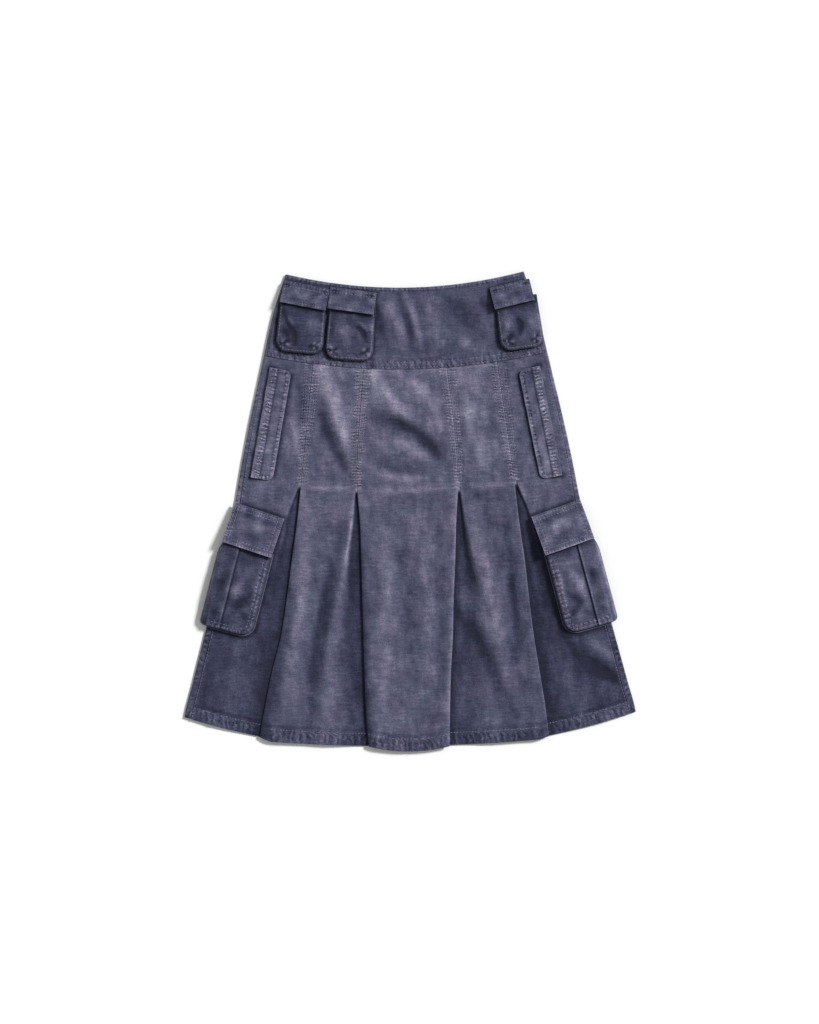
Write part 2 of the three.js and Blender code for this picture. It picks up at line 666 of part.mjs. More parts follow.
for (const pocket of SIDE_FLAPS) {
  sew(`side_flap_${pocket.name}`, sideFlap(pocket), CLOTH_COLOURS.flap);
}
for (const pocket of CARGO_POCKETS) {
  sew(`cargo_gusset_${pocket.name}`, cargoGusset(pocket), CLOTH_COLOURS.pocket);
  sew(`cargo_bag_${pocket.name}`, cargoBag(pocket), CLOTH_COLOURS.pocket);
  sew(`cargo_flap_${pocket.name}`, cargoFlap(pocket), CLOTH_COLOURS.flap);
}

export default skirt;
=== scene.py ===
"""A cargo utility skirt laid flat: its cloth, seams, stitching and washed twill."""

import math

import bmesh
import bpy
import numpy as np
from mathutils import Matrix, Vector
from mathutils.bvhtree import BVHTree


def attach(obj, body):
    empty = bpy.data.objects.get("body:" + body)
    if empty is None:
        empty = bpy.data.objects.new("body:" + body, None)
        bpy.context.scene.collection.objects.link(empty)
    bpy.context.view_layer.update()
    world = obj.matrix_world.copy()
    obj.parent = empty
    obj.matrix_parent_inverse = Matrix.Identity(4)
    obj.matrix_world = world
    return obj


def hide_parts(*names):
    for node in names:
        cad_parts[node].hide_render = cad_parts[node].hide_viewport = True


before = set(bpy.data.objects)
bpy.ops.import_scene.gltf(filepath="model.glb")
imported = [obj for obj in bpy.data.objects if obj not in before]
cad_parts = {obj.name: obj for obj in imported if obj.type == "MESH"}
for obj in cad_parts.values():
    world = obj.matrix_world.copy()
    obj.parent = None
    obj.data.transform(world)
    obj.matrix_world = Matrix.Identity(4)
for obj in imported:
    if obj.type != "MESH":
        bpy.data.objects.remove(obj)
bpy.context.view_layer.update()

# Sizes are in millimetres until a mesh is made. Rows run down the skirt, columns to the right.
MM = 0.001

SKIRT_CLOTH = 0.9
YOKE_CLOTH = 1.5
POCKET_CLOTH = 0.9
FLAP_CLOTH = 1.5
SIDE_FLAP_CLOTH = 1.8
GUSSET_CLOTH = 1.4
GAP = 0.3
HEM_TURN = 20
HEM_EXTRA = 0.5
SEAM_SWELL = 0.7

YOKE_FRONT_Z = 4.3
YOKE_FRAME_CLOTH = 1.8
SKIRT_FRAME_CLOTH = 1.2
UNDERLAY_Z = 2.1
FOLD_RADIUS = 0.75
ZIP_Z = 2.6

# Level curves, y = middle + sag * x * x
WAIST = (336.2, 0.0007)
YOKE_SEAM = (214, 0.00052)
RELEASE = (31, 0.00044)
HEMS = {
    "centre": (-358.4, 0.0021),
    "middle": (-350.5, 0.00021),
    "side": (-358.4, 0.000483),
    "back": (-349, 0.0004),
}

SIDE_EDGE = {
    "y": [370, 358, 309, 237, 209, 115, 70, 10, -185, -250, -310, -370],
    "half": [174.6, 178.8, 195.5, 212.6, 219, 240, 249, 260, 308, 325, 339.8, 340.5],
    "wrap": [3.6, 3.6, 3.8, 4.2, 4.6, 5.4, 6, 7, 9, 9.5, 10, 10],
}

# The folded edges of the four inverted pleats
PLEAT_FOLDS = {
    "y": [230, 34, -17, -73, -131, -190, -236, -286, -350],
    "outer_left": [-138.5, -160.5, -166.5, -175, -183.4, -193.8, -206.3, -217, -229],
    "inner_left": [-62.5, -75, -71.7, -70.5, -69.7, -68.8, -68, -66.8, -62.9],
    "inner_right": [60.5, 75.5, 72.5, 70.3, 67.2, 65.2, 62, 60.1, 58.4],
    "outer_right": [136, 161.5, 167, 174.4, 180.3, 187, 194, 201.6, 209],
}

# Each pleat by its distance down from the release: the width of the underlay that shows, of the
# step up from it, and of its tucked end
PLEAT_OPENING = {
    "down": [0, 12, 42, 88, 136, 198, 270, 400],
    "outer_left": [3, 6, 14, 18, 25.5, 32, 36, 39],
    "inner_left": [3, 5, 9.5, 18, 24, 30, 34, 37],
    "inner_right": [3, 5, 10, 16, 29, 38, 42, 45],
    "outer_right": [3, 6, 14.5, 19, 27, 36, 40, 42],
    "step": [2.4, 3, 4, 7, 14, 30, 48, 60],
    "tuck": [-0.3, 4, 8, 12, 15, 18, 20, 22],
}

# Heights of the front by distance down from the release
LAYER_HEIGHTS = {
    "down": [-220, -180, -40, 0, 90, 200, 400],
    "centre": [4.3, 4.5, 5.1, 5.6, 6.3, 6.5, 6.5],
    "middle": [4.3, 4.5, 5.1, 5.4, 5.6, 5.6, 5.7],
    "fold": [4.3, 4.5, 5.3, 5.6, 6.6, 7.6, 8.6],
    "crest": [4.3, 4.5, 5.2, 5.4, 4.6, 4, 3.8],
    "wrap": [4.3, 4.3, 3.8, 3.6, 3.4, 3.4, 3.4],
}
EDGE_REACH = 42
HEM_JOIN = {"left": 206, "right": 188, "width": 24}

# How far each folded edge rolls down, and how wide the roll is, by distance down from the release
EDGE_DROP = {
    "down": [0, 60, 150, 260, 400],
    "outer_left": [0, 0.8, 2.4, 3.8, 4.2],
    "inner_left": [0, 0.7, 1.6, 2.4, 2.8],
    "inner_right": [0, 0.3, 0.6, 1.0, 1.2],
    "outer_right": [0, 0.3, 0.7, 1.4, 3.2],
}
EDGE_ROLL = {
    "down": [0, 60, 150, 260, 400],
    "outer_left": [4, 11, 22, 32, 34],
    "inner_left": [4, 8, 13, 17, 18],
    "inner_right": [3, 4, 5, 6, 7],
    "outer_right": [3, 4, 6, 10, 22],
}

# Painted light towards each folded edge, and over what width: a painted highlight above zero, on edges that
# face right; painted shade below zero, on edges that face left
EDGE_SHADE = {
    "down": [0, 60, 150, 260, 400],
    "outer_left": [0.3, -0.3, -0.8, -1.5, -1.6],
    "inner_left": [0.3, -0.5, -1.3, -1.8, -1.8],
    "inner_right": [0.6, 0.9, 0.9, 0.9, 0.9],
    "outer_right": [0.6, 0.9, 0.9, 0.7, 0.5],
}
EDGE_SHADE_REACH = {"outer_left": 16, "inner_left": 6.5, "inner_right": 1.8, "outer_right": 1.8}

# Soft folds of the front: points along the fold, its rise (a trough below zero), its width
FRONT_FOLDS = [
    ([(-127, 214), (-108, 168), (-98, 130), (-86, 80)], 2.5, 11),
    ([(-131, 172), (-123, 130), (-105, 88)], -2.6, 8),
    ([(-110, 96), (-96, 72), (-88, 56)], -1.6, 8),
    ([(-164, 200), (-152, 164), (-158, 116)], -1.5, 6),
    ([(-172, 142), (-162, 86)], 1.5, 5),
    ([(-47, 207), (-32, 178), (-8, 152), (20, 128)], 2.0, 11),
    ([(-8, 208), (26, 182), (44, 150), (50, 112)], 1.6, 10),
    ([(-48, 146), (-16, 136), (12, 122), (42, 90), (58, 66)], -2.8, 9),
    ([(-30, 112), (2, 98), (26, 80)], 1.0, 8),
    ([(-54, 84), (-20, 66), (24, 60)], -0.8, 6),
    ([(-50, 62), (-14, 50), (30, 50)], 0.9, 6),
    ([(84, 196), (92, 150), (96, 110)], 1.2, 8),
    ([(104, 190), (112, 130), (114, 60)], 0.9, 24),
    ([(122, 180), (126, 140), (118, 104)], -1.1, 8),
    ([(100, 104), (112, 76), (110, 56)], 1.0, 9),
    ([(-156, 10), (-160, -64), (-164, -142), (-174, -220), (-184, -290)], 1.5, 13),
    ([(-101, -30), (-116, -94), (-132, -170), (-144, -240), (-147, -322)], -2.9, 11),
    ([(-88, -150), (-92, -220), (-90, -320)], -1.4, 15),
    ([(-84, -14), (-90, -60), (-95, -108)], 1.8, 2.6),
    ([(-77, -30), (-83, -90), (-86, -170)], -1.8, 6),
    ([(-38, -10), (-30, -90), (-40, -220), (-44, -330)], 1.3, 12),
    ([(-8, -40), (-2, -140), (6, -260)], -1.2, 14),
    ([(22, -60), (30, -150), (24, -240)], 0.9, 9),
    ([(46, -30), (50, -150), (46, -300)], -1.1, 9),
    ([(80, 5), (87, -50), (96, -95), (111, -137)], -4.2, 4.5),
    ([(100, -10), (115, -77), (126, -141), (140, -216), (145, -250)], 1.9, 12),
    ([(146, -28), (153, -78), (161, -164), (157, -224)], -1.9, 8),
    ([(74, -118), (98, -152)], 1.5, 8),
    ([(69, -151), (99, -178), (117, -216), (135, -265)], -3.8, 7.5),
    ([(80, -260), (96, -300)], 0.9, 14),
    ([(170, -30), (182, -120), (196, -200), (212, -300)], -1.1, 7),
    ([(185, -14), (198, -78), (212, -142), (230, -180)], -3.0, 6),
    ([(176, -48), (188, -92), (198, -134)], 1.2, 5),
    ([(234, -187), (248, -210), (271, -233), (297, -248), (323, -256)], -3.9, 9),
    ([(264, -191), (293, -214), (316, -229)], 2.0, 9),
    ([(214, -232), (246, -282), (270, -330)], 1.0, 14),
    ([(-240, -210), (-262, -268), (-286, -322)], 0.9, 15),
    ([(-300, -228), (-312, -300)], -1.0, 12),
    ([(-156, 40), (-118, 36), (-78, 38)], 0.9, 4),
    ([(-72, 35), (-20, 31), (70, 36)], 0.8, 4.5),
    ([(80, 38), (120, 37), (158, 41)], 0.9, 4),
]
# Paler and darker strokes with no fold of their own, given as the folds are
FRONT_MARKS = [
    ([(-134, 226), (-120, 190), (-108, 160)], 1.7, 10),
    ([(-56, 226), (-42, 196), (-24, 168)], 1.5, 9),
    ([(-152, 214), (-146, 190)], -1.2, 7),
    ([(100, 226), (104, 190), (110, 160)], 0.9, 12),
    ([(-84, -150), (-96, -220), (-104, -330)], 0.8, 9),
]
YOKE_FOLDS = [
    ([(-52, 318), (-36, 284), (-32, 250)], -1.2, 8),
    ([(-28, 324), (-14, 290), (-2, 252)], 1.4, 8),
    ([(-10, 322), (4, 284), (12, 240)], -1.3, 7),
    ([(2, 322), (16, 280), (24, 236)], 1.5, 6),
    ([(34, 316), (44, 278), (40, 240)], 0.9, 8),
    ([(70, 310), (92, 290), (112, 268)], -1.7, 13),
    ([(112, 322), (126, 296)], -1.2, 9),
    ([(76, 262), (98, 246)], 1.3, 7),
    ([(-112, 232), (-96, 240), (-70, 228)], -0.9, 6),
    ([(150, 236), (176, 238)], -0.9, 6),
]
BACK_FOLDS = [
    ([(-34, 120), (-42, 60), (-28, 6)], 1.3, 13),
    ([(112, 150), (122, 96), (112, 60)], 1.1, 12),
    ([(-120, -80), (-134, -170), (-146, -262)], 1.2, 15),
    ([(26, -60), (36, -150), (31, -240)], 1.3, 15),
    ([(128, -60), (139, -130), (150, -205)], 1.1, 13),
    ([(-36, -150), (-48, -230), (-44, -318)], 1.0, 14),
]

# Pockets. A flap and a bag each give the middle of their upper edge and their turn in degrees.
# Across is the flap's width, size the bag's width and length, and fade how pale its dye is.
SMALL_FLAP = {"depth": 33}
SMALL_BAG = {"corner": 17, "rise": 7.6, "slack": 3.2}
SMALL_POCKETS = {
    "left": {
        "flap": (-146.4, 341.7, -11.6),
        "bag": (-151.2, 325, -6),
        "across": 69.5,
        "size": (70.5, 85),
        "fade": -0.4,
    },
    "middle": {
        "flap": (-76.8, 333.3, -8.6),
        "bag": (-78.2, 314.5, -5),
        "across": 69.5,
        "size": (71, 86),
        "fade": 0,
    },
    "right": {
        "flap": (156.4, 340, 13),
        "bag": (166, 320, 7),
        "across": 61,
        "size": (65, 78),
        "fade": 0,
    },
}
SIDE_FLAP = {"width": 33, "length": 167, "corner": 10}
SIDE_FLAPS = {"left": (-187.5, 216, -10.6), "right": (184.5, 213.5, 10.8)}
CARGO_FLAP = {"width": 77.5, "depth": 61}
CARGO_BAG = {
    "width": 79,
    "length": 143,
    "corner": 18,
    "rise": 8.4,
    "slack": 2.6,
    "pleat_step": 1.9,
    "pleat_at": 9,
}
CARGO_OUTER_EDGE = {"corner": 7, "taper": 7, "taper_length": 34, "drop": 3}
CARGO_POCKETS = {
    "left": {"side": -1, "flap": (-221.3, 4.5, -19), "bag": (-238.6, -35.5, -15)},
    "right": {"side": 1, "flap": (221.7, 3, 19), "bag": (240, -36.5, 14.2)},
}
GUSSET = {"width": 10, "showing": 3}
BAG_SQUARENESS = 5

# Stitches, limits of relief and of wear and painted light, returns of the folds, and the zip
STITCH = {"length": 3.0, "thread": 0.34, "pitch": 4.5}
LINE_STEP = 8
COLUMN_WIDTH = 1.8
WAIST_ROW = -3.4
TROUGH_MOST = -2.4
RIDGE_MOST = 4
WEAR_AND_LIGHT_MOST = 1.6
RETURN_AT = [[15, 10, 5]]
HEM_SEWN_BELOW = 1.6
BACK_YOKE_Z = YOKE_CLOTH / 2 + 0.3
ZIP = {"half": 11, "below_waist": 4, "lower_end": 158, "cloth": 0.6}
COIL_TURN = {"pitch": 1.3, "half": 2.2, "thread": 0.42, "rise": 0.3, "clear": 4}
RIBS_PER_MM = 1.1
WEAVE_DEPTH = 0.05
PUCKER_DEPTH = 0.5
TWILL_FINISH = {
    "Roughness": 0.92,
    "Specular IOR Level": 0.2,
    "Sheen Weight": 0.12,
    "Sheen Roughness": 0.6,
}
FLOOR = {"half": 4, "below": 0.0002, "colour": (0.96, 0.96, 0.96, 1), "roughness": 0.9}
SKY_STRENGTH = 0.38
SUN = {"energy": 3.7, "spread": 12, "place": (1.9, 1.2, 1.6)}
CAMERA = {"sensor": 36, "lens": 70.3, "place": (0.0028, 0.0001, 3.0), "turn": -0.0122}


def mix(a, b, t):
    return a + (b - a) * t


def smooth(t):
    s = np.clip(t, 0, 1)
    return s * s * (3 - 2 * s)


def bell(away, width):
    """One at no distance, and falling to nothing on both sides."""
    return np.exp(-((away / width) ** 2))


def fading(away, reach):
    """One at an edge, and falling to nothing past its reach."""
    return np.exp(-away / reach)


def look(table, key, at, column):
    """A smooth line through a table's values, level past its ends."""
    order = np.argsort(table[key])
    keys = np.array(table[key], float)[order]
    values = np.array(table[column], float)[order]
    slopes = np.gradient(values, keys)
    at = np.clip(at, keys[0], keys[-1])
    i = np.clip(np.searchsorted(keys, at) - 1, 0, len(keys) - 2)
    width = keys[i + 1] - keys[i]
    t = (at - keys[i]) / width
    start = (1 + 2 * t) * (1 - t) ** 2 * values[i] + t * (1 - t) ** 2 * width * slopes[i]
    return start + t * t * (3 - 2 * t) * values[i + 1] + t * t * (t - 1) * width * slopes[i + 1]


def level(curve, x):
    return curve[0] + curve[1] * x * x


def down_from_release(x, y):
    return level(RELEASE, x) - y


def height(column, x, y):
    return look(LAYER_HEIGHTS, "down", down_from_release(x, y), column)


def half_width(y):
    return look(SIDE_EDGE, "y", y, "half")


def to_line(points, x, y):
    """The distance from each place to a line of points, and how far along the line that is."""
    points = np.array(points, float)
    nearest = np.full(np.shape(x), 1e9)
    along = np.zeros(np.shape(x))
    travelled = 0.0
    for (x0, y0), (x1, y1) in zip(points[:-1], points[1:]):
        run = math.hypot(x1 - x0, y1 - y0)
        share = np.clip(((x - x0) * (x1 - x0) + (y - y0) * (y1 - y0)) / run**2, 0, 1)
        away = np.hypot(x - mix(x0, x1, share), y - mix(y0, y1, share))
        closer = away < nearest
        nearest = np.where(closer, away, nearest)
        along = np.where(closer, travelled + share * run, along)
        travelled += run
    return nearest, along


def relief_of(folds):
    """The folds as heights: ridges stand up more than troughs, which the cloth below stops."""
    return lambda x, y: np.clip(soft_folds(folds, x, y), TROUGH_MOST, RIDGE_MOST)


def soft_folds(folds, x, y):
    rise = np.zeros(np.broadcast_shapes(np.shape(x), np.shape(y)))
    for points, most, width in folds:
        away, along = to_line(points, x, y)
        length = float(np.hypot(*np.diff(np.array(points, float), axis=0).T).sum())
        ends = 0.35 + 0.65 * smooth(np.minimum(along, length - along) / (0.4 * length))
        crest = 0.65 * bell(away, width) + 0.35 * bell(away / width, 2.1)
        rise += most * ends * crest
    return rise


front_relief = relief_of(FRONT_FOLDS)
yoke_relief = relief_of(YOKE_FOLDS)


def folds_worn_and_shaded(folds, x, y):
    """Pale on a fold's ridge, part rubbed wear and part painted highlight; dark in a trough, painted shade.
    """
    hand = np.clip(0.44 * soft_folds(folds, x, y), -1.6, 0.95)
    return hand + 0.2 * uneven(x, y, 40, 31) + 0.16 * uneven(x, y, 17, 32)


def uneven(x, y, size, seed):
    """Gentle waves of about the given size, from -1 to 1, the same on each run."""
    rng = np.random.default_rng(seed)
    total = np.zeros(np.broadcast_shapes(np.shape(x), np.shape(y)))
    waves = 7
    for _ in range(waves):
        turn, start = rng.uniform(0, 2 * math.pi, 2)
        length = size * rng.uniform(0.7, 1.6)
        total += np.sin((x * math.cos(turn) + y * math.sin(turn)) * 2 * math.pi / length + start)
    return total / math.sqrt(waves * 2)


def blurred(field, passes):
    for _ in range(passes):
        for axis in (0, 1):
            ends = [(1, 1) if axis == a else (0, 0) for a in (0, 1)]
            wide = np.pad(field, ends, mode="edge")
            if axis == 0:
                field = (wide[:-2] + 2 * wide[1:-1] + wide[2:]) / 4
            else:
                field = (wide[:, :-2] + 2 * wide[:, 1:-1] + wide[:, 2:]) / 4
    return field


def shares(size, cell, edge=0.8):
    """Shares of a length, one for each cell, with one more close to each end."""
    count = max(2, round(size / cell))
    inner = np.linspace(0, 1, count + 1)[1:-1]
    return np.array([0, edge / size, *inner, 1 - edge / size, 1])


# Shader groups and materials


def node(tree, kind, inputs=None, **settings):
    """Adds a node, and feeds its inputs, by name or number, with sockets or values."""
    made = tree.nodes.new(kind)
    for name, value in settings.items():
        setattr(made, name, value)
    for name, value in (inputs or {}).items():
        if isinstance(value, bpy.types.NodeSocket):
            tree.links.new(value, made.inputs[name])
        else:
            made.inputs[name].default_value = value
    return made


def maths(tree, operation, a, b=0.0, c=0.0):
    return node(tree, "ShaderNodeMath", {0: a, 1: b, 2: c}, operation=operation).outputs[0]


def group(name, inputs, outputs):
    """A new shader group with number inputs (name: usual value) and outputs (name: kind)."""
    tree = bpy.data.node_groups.new(name, "ShaderNodeTree")
    for title, usual in inputs.items():
        socket = tree.interface.new_socket(title, in_out="INPUT", socket_type="NodeSocketFloat")
        socket.default_value = usual
    for title, kind in outputs.items():
        tree.interface.new_socket(title, in_out="OUTPUT", socket_type=kind)
    return tree, tree.nodes.new("NodeGroupInput").outputs, tree.nodes.new("NodeGroupOutput").inputs


def noise(tree, place, scale, detail=3.0, roughness=0.55, distortion=0.0):
    inputs = {"Vector": place, "Scale": scale, "Detail": detail}
    inputs.update({"Roughness": roughness, "Distortion": distortion})
    return node(tree, "ShaderNodeTexNoise", inputs).outputs["Fac"]


def centred(tree, place, scale, detail, roughness=0.55, distortion=0.0):
    """Noise about zero."""
    return maths(tree, "SUBTRACT", noise(tree, place, scale, detail, roughness, distortion), 0.5)


def mixed(tree, share, a, b, **settings):
    """Two colours mixed. The mix node's inputs 6 and 7 are its colours, and so is its output 2."""
    inputs = {0: share, 6: a, 7: b}
    return node(tree, "ShaderNodeMix", inputs, data_type="RGBA", **settings).outputs[2]


def object_place(tree, stretch=(1, 1, 1)):
    coords = tree.nodes.new("ShaderNodeTexCoord").outputs["Object"]
    return node(tree, "ShaderNodeMapping", {"Vector": coords, "Scale": stretch}).outputs["Vector"]


def attribute(tree, name):
    return node(tree, "ShaderNodeAttribute", attribute_name=name).outputs["Fac"]


def stitched_ripple():
    """Cloth drawn up beside a row of stitches: small uneven ridges across the row, paler on the ridges and
    with painted shade in the valleys between them.
    """
    tree, given, gives = group(
        "stitched ripple",
        {"Seam": 0.0, "Run": 0.0},
        {"Height": "NodeSocketFloat", "Light": "NodeSocketFloat"},
    )
    place = object_place(tree)
    turns = maths(tree, "MULTIPLY_ADD", noise(tree, place, 55, 3, 0.7), 2.6, given["Run"])
    wave = maths(tree, "SINE", maths(tree, "MULTIPLY", turns, 2 * math.pi))
    strength = maths(tree, "MULTIPLY_ADD", noise(tree, place, 120, 2), 5.0, -1.7)
    ridges = maths(tree, "MULTIPLY", maths(tree, "MULTIPLY", wave, strength), given["Seam"])
    tree.links.new(maths(tree, "MULTIPLY_ADD", given["Seam"], -0.4, ridges), gives["Height"])
    tree.links.new(ridges, gives["Light"])
    return tree


def crumple():
    """Soft dents and fine worn creases, as washed cotton keeps them."""
    tree, given, gives = group(
        "washed crumple",
        {"Dents": 1.0, "Creases": 1.0},
        {"Height": "NodeSocketFloat"},
    )
    place = object_place(tree)
    dents = centred(tree, place, 42, 3)
    folded = maths(tree, "ABSOLUTE", centred(tree, place, 75, 3, 0.5, 0.6))
    creases = maths(tree, "MULTIPLY", maths(tree, "SUBTRACT", 0.12, folded), given["Creases"])
    total = maths(tree, "MULTIPLY_ADD", dents, given["Dents"], creases)
    tree.links.new(total, gives["Height"])
    return tree


def weave():
    """Twill: fine slanting ribs, broken by uneven yarns."""
    tree, given, gives = group(
        "twill weave",
        {"Ribs per mm": RIBS_PER_MM},
        {"Height": "NodeSocketFloat", "Yarn": "NodeSocketFloat"},
    )
    flat = tree.nodes.new("ShaderNodeUVMap").outputs["UV"]
    parts = node(tree, "ShaderNodeSeparateXYZ", {0: flat})
    slant = maths(tree, "MULTIPLY_ADD", parts.outputs["X"], 1.6, parts.outputs["Y"])
    count = maths(tree, "MULTIPLY", given["Ribs per mm"], 2 * math.pi * 1000)
    ribs = maths(tree, "SINE", maths(tree, "MULTIPLY", slant, count))
    stretched = node(tree, "ShaderNodeMapping", {"Vector": flat, "Scale": (1800, 240, 1)})
    yarn = centred(tree, stretched.outputs["Vector"], 1.0, 2)
    tree.links.new(maths(tree, "MULTIPLY_ADD", ribs, 0.35, yarn), gives["Height"])
    tree.links.new(yarn, gives["Yarn"])
    return tree


def washed_colour():
    """Dye left in the cloth after washing, pale where it was rubbed, with painted shade and painted
    highlights coming in with the wear.
    """
    tree, given, gives = group(
        "washed colour",
        {"Tone": 0.5, "Wear and painted light": 0.0, "Ripple": 0.0, "Yarn": 0.0, "Patches": 0.3},
        {"Colour": "NodeSocketColor"},
    )
    place = object_place(tree)
    broad = centred(tree, place, 16, 4, 0.6)
    streaks = centred(tree, object_place(tree, (1, 0.3, 1)), 120, 4, 0.65)
    threads = centred(tree, object_place(tree, (0.22, 1, 1)), 300, 3, 0.7)
    specks = centred(tree, place, 640, 2, 0.7)
    tone = maths(tree, "MULTIPLY_ADD", broad, given["Patches"], given["Tone"])
    marks = [(streaks, 0.4), (threads, 0.5), (specks, 0.55)]
    marks += [(given["Wear and painted light"], 0.26), (given["Ripple"], 0.4), (given["Yarn"], 0.12)]
    for part, most in marks:
        tone = maths(tree, "MULTIPLY_ADD", part, most, tone)
    ramp = node(tree, "ShaderNodeValToRGB", {"Fac": tone})
    stops = [
        (0.0, (0.009, 0.01, 0.028)),
        (0.25, (0.034, 0.036, 0.076)),
        (0.5, (0.084, 0.086, 0.142)),
        (0.75, (0.19, 0.176, 0.262)),
        (1.0, (0.4, 0.37, 0.47)),
    ]
    while len(ramp.color_ramp.elements) < len(stops):
        ramp.color_ramp.elements.new(0.5)
    for element, (at, colour) in zip(ramp.color_ramp.elements, stops):
        element.position = at
        element.color = (*colour, 1)
    hue = maths(tree, "MULTIPLY_ADD", noise(tree, place, 24, 3, 0.6), 3.0, -1.0)
    tint = mixed(tree, hue, (0.95, 1.02, 1.0, 1), (1.05, 0.975, 1.01, 1))
    tinted = mixed(tree, 1.0, ramp.outputs["Color"], tint, blend_type="MULTIPLY")
    tree.links.new(tinted, gives["Colour"])
    return tree


GROUPS = {
    "ripple": stitched_ripple(),
    "crumple": crumple(),
    "weave": weave(),
    "colour": washed_colour(),
}


def grouped(tree, name, inputs):
    return node(tree, "ShaderNodeGroup", inputs, node_tree=GROUPS[name]).outputs


def material(name):
    """A new material, its nodes and its main shader."""
    made = bpy.data.materials.new(name)
    made.use_nodes = True
    return made, made.node_tree, made.node_tree.nodes["Principled BSDF"]


def twill(name, tone, patches=0.24, dents=1.6, creases=1.4):
    """Washed cotton twill whose marks, wear, painted shade and painted highlights come from the cloth's own
    attributes.
    """
    made, tree, shader = material(name)
    pucker = grouped(tree, "ripple", {"Seam": attribute(tree, "seam"), "Run": attribute(tree, "run")})
    ribs = grouped(tree, "weave", {"Ribs per mm": RIBS_PER_MM})
    dented = grouped(tree, "crumple", {"Dents": dents, "Creases": creases})
    dye = grouped(
        tree,
        "colour",
        {
            "Tone": tone,
            "Wear and painted light": attribute(tree, "wear_and_painted_light"),
            "Ripple": pucker["Light"],
            "Yarn": ribs["Yarn"],
            "Patches": patches,
        },
    )
    heights = maths(tree, "MULTIPLY_ADD", pucker["Height"], PUCKER_DEPTH, dented["Height"])
    heights = maths(tree, "MULTIPLY_ADD", ribs["Height"], WEAVE_DEPTH, heights)
    bump = node(tree, "ShaderNodeBump", {"Height": heights, "Distance": MM, "Strength": 1.0})
    tree.links.new(dye["Colour"], shader.inputs["Base Color"])
    tree.links.new(bump.outputs["Normal"], shader.inputs["Normal"])
    for title, value in TWILL_FINISH.items():
        shader.inputs[title].default_value = value
    return made


def dyed(name, scale, spread, tone, patches, roughness):
    """Thread or coil, in one dye that varies a little."""
    made, tree, shader = material(name)
    shade = maths(tree, "MULTIPLY_ADD", noise(tree, object_place(tree), scale, 2), spread, tone)
    dye = grouped(tree, "colour", {"Tone": shade, "Patches": patches})
    tree.links.new(dye["Colour"], shader.inputs["Base Color"])
    shader.inputs["Roughness"].default_value = roughness
    return made


CLOTHS = {
    "yoke": twill("washed twill, yoke", 0.4, dents=2.2),
    "panel": twill("washed twill, centre panel", 0.48),
    "middle": twill("washed twill, middle panels", 0.42),
    "side": twill("washed twill, side panels", 0.41),
    "pocket": twill("washed twill, cargo bags", 0.36, dents=2.0, creases=2.2),
    "small_bag": twill("washed twill, small bags", 0.3, dents=2.0, creases=2.0),
    "flap": twill("washed twill, side flaps", 0.53),
    "small_flap": twill("washed twill, small flaps", 0.355),
    "cargo_flap": twill("washed twill, cargo flaps", 0.46, dents=1.8, creases=1.8),
    "tape": twill("zip tape", 0.2, patches=0.05, dents=0.1, creases=0.1),
}
THREAD = dyed("sewing thread", 400, 0.5, 0.52, 0.1, 0.7)
COIL = dyed("zip coil", 300, 0.2, 0.15, 0.05, 0.4)


# Cloth


def meshed(bm, name):
    mesh = bpy.data.meshes.new(name)
    bm.to_mesh(mesh)
    bm.free()
    return mesh


def linked(name, data):
    made = bpy.data.objects.new(name, data)
    bpy.context.scene.collection.objects.link(made)
    return made


def put(name, mesh, surface):
    made = linked(name, mesh)
    mesh.materials.append(surface)
    mesh.shade_smooth()
    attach(made, "root")
    return made


def lengths(points, axis):
    """How far each point is along its row or column, in metres."""
    steps = np.linalg.norm(np.diff(points, axis=axis), axis=2)
    start = np.zeros_like(np.take(steps, [0], axis=axis))
    return np.cumsum(np.concatenate([start, steps], axis=axis), axis=axis)


def cloth(name, x, y, z, thickness, look_of, lines=(), wear_and_painted_light=0.0, under=False):
    """A shell of cloth through a grid of points, with its marks, stitches and flat cut."""
    x, y, z = np.broadcast_arrays(x, y, z)
    points = np.stack([x, y, z], axis=2) * MM
    rows, columns = x.shape
    bm = bmesh.new()
    bmesh.ops.create_grid(bm, x_segments=columns - 1, y_segments=rows - 1, size=1)
    for vertex, point in zip(bm.verts, points[::-1].reshape(-1, 3)):
        vertex.co = point
    mesh = meshed(bm, name)

    across, down = lengths(points, 1), lengths(points, 0)
    flat = np.stack([across - across[:, -1:] / 2, -down], axis=2)[::-1].reshape(-1, 2)
    corner = np.zeros(len(mesh.loops), np.int32)
    mesh.loops.foreach_get("vertex_index", corner)
    mesh.uv_layers.new(name="flat cut").uv.foreach_set("vector", flat[corner].ravel())

    seam = np.zeros(x.shape)
    run = np.zeros(x.shape)
    for stitched in lines:
        away, along = to_line(stitched["line"], x, y)
        close = stitched["strength"] * bell(away, stitched["reach"])
        run = np.where(close > seam, (along + stitched["slant"] * y) / stitched["pitch"], run)
        seam = np.maximum(close, seam)
    # Paler where the cloth stands above its surroundings, darker where it sinks: part rubbed wear, part
    # painted highlight on raised cloth and painted shade in the hollows.
    relief_wear_and_light = np.clip((z - blurred(z, 24)) / 1.4, -0.8, 0.8)
    marks = {"seam": seam, "run": run, "wear_and_painted_light": np.clip(relief_wear_and_light + wear_and_painted_light, -WEAR_AND_LIGHT_MOST, WEAR_AND_LIGHT_MOST)}
    for title, values in marks.items():
        values = np.broadcast_to(values, x.shape)[::-1].astype(np.float32).ravel()
        mesh.attributes.new(title, "FLOAT", "POINT").data.foreach_set("value", values)

    made = put(name, mesh, CLOTHS[look_of])
    wall = made.modifiers.new("cloth", "SOLIDIFY")
    wall.thickness = thickness * MM
    wall.offset = 0
    wall.use_even_offset = True
    thread = sew(made, [stitched["line"] for stitched in lines if stitched["sewn"]], under)


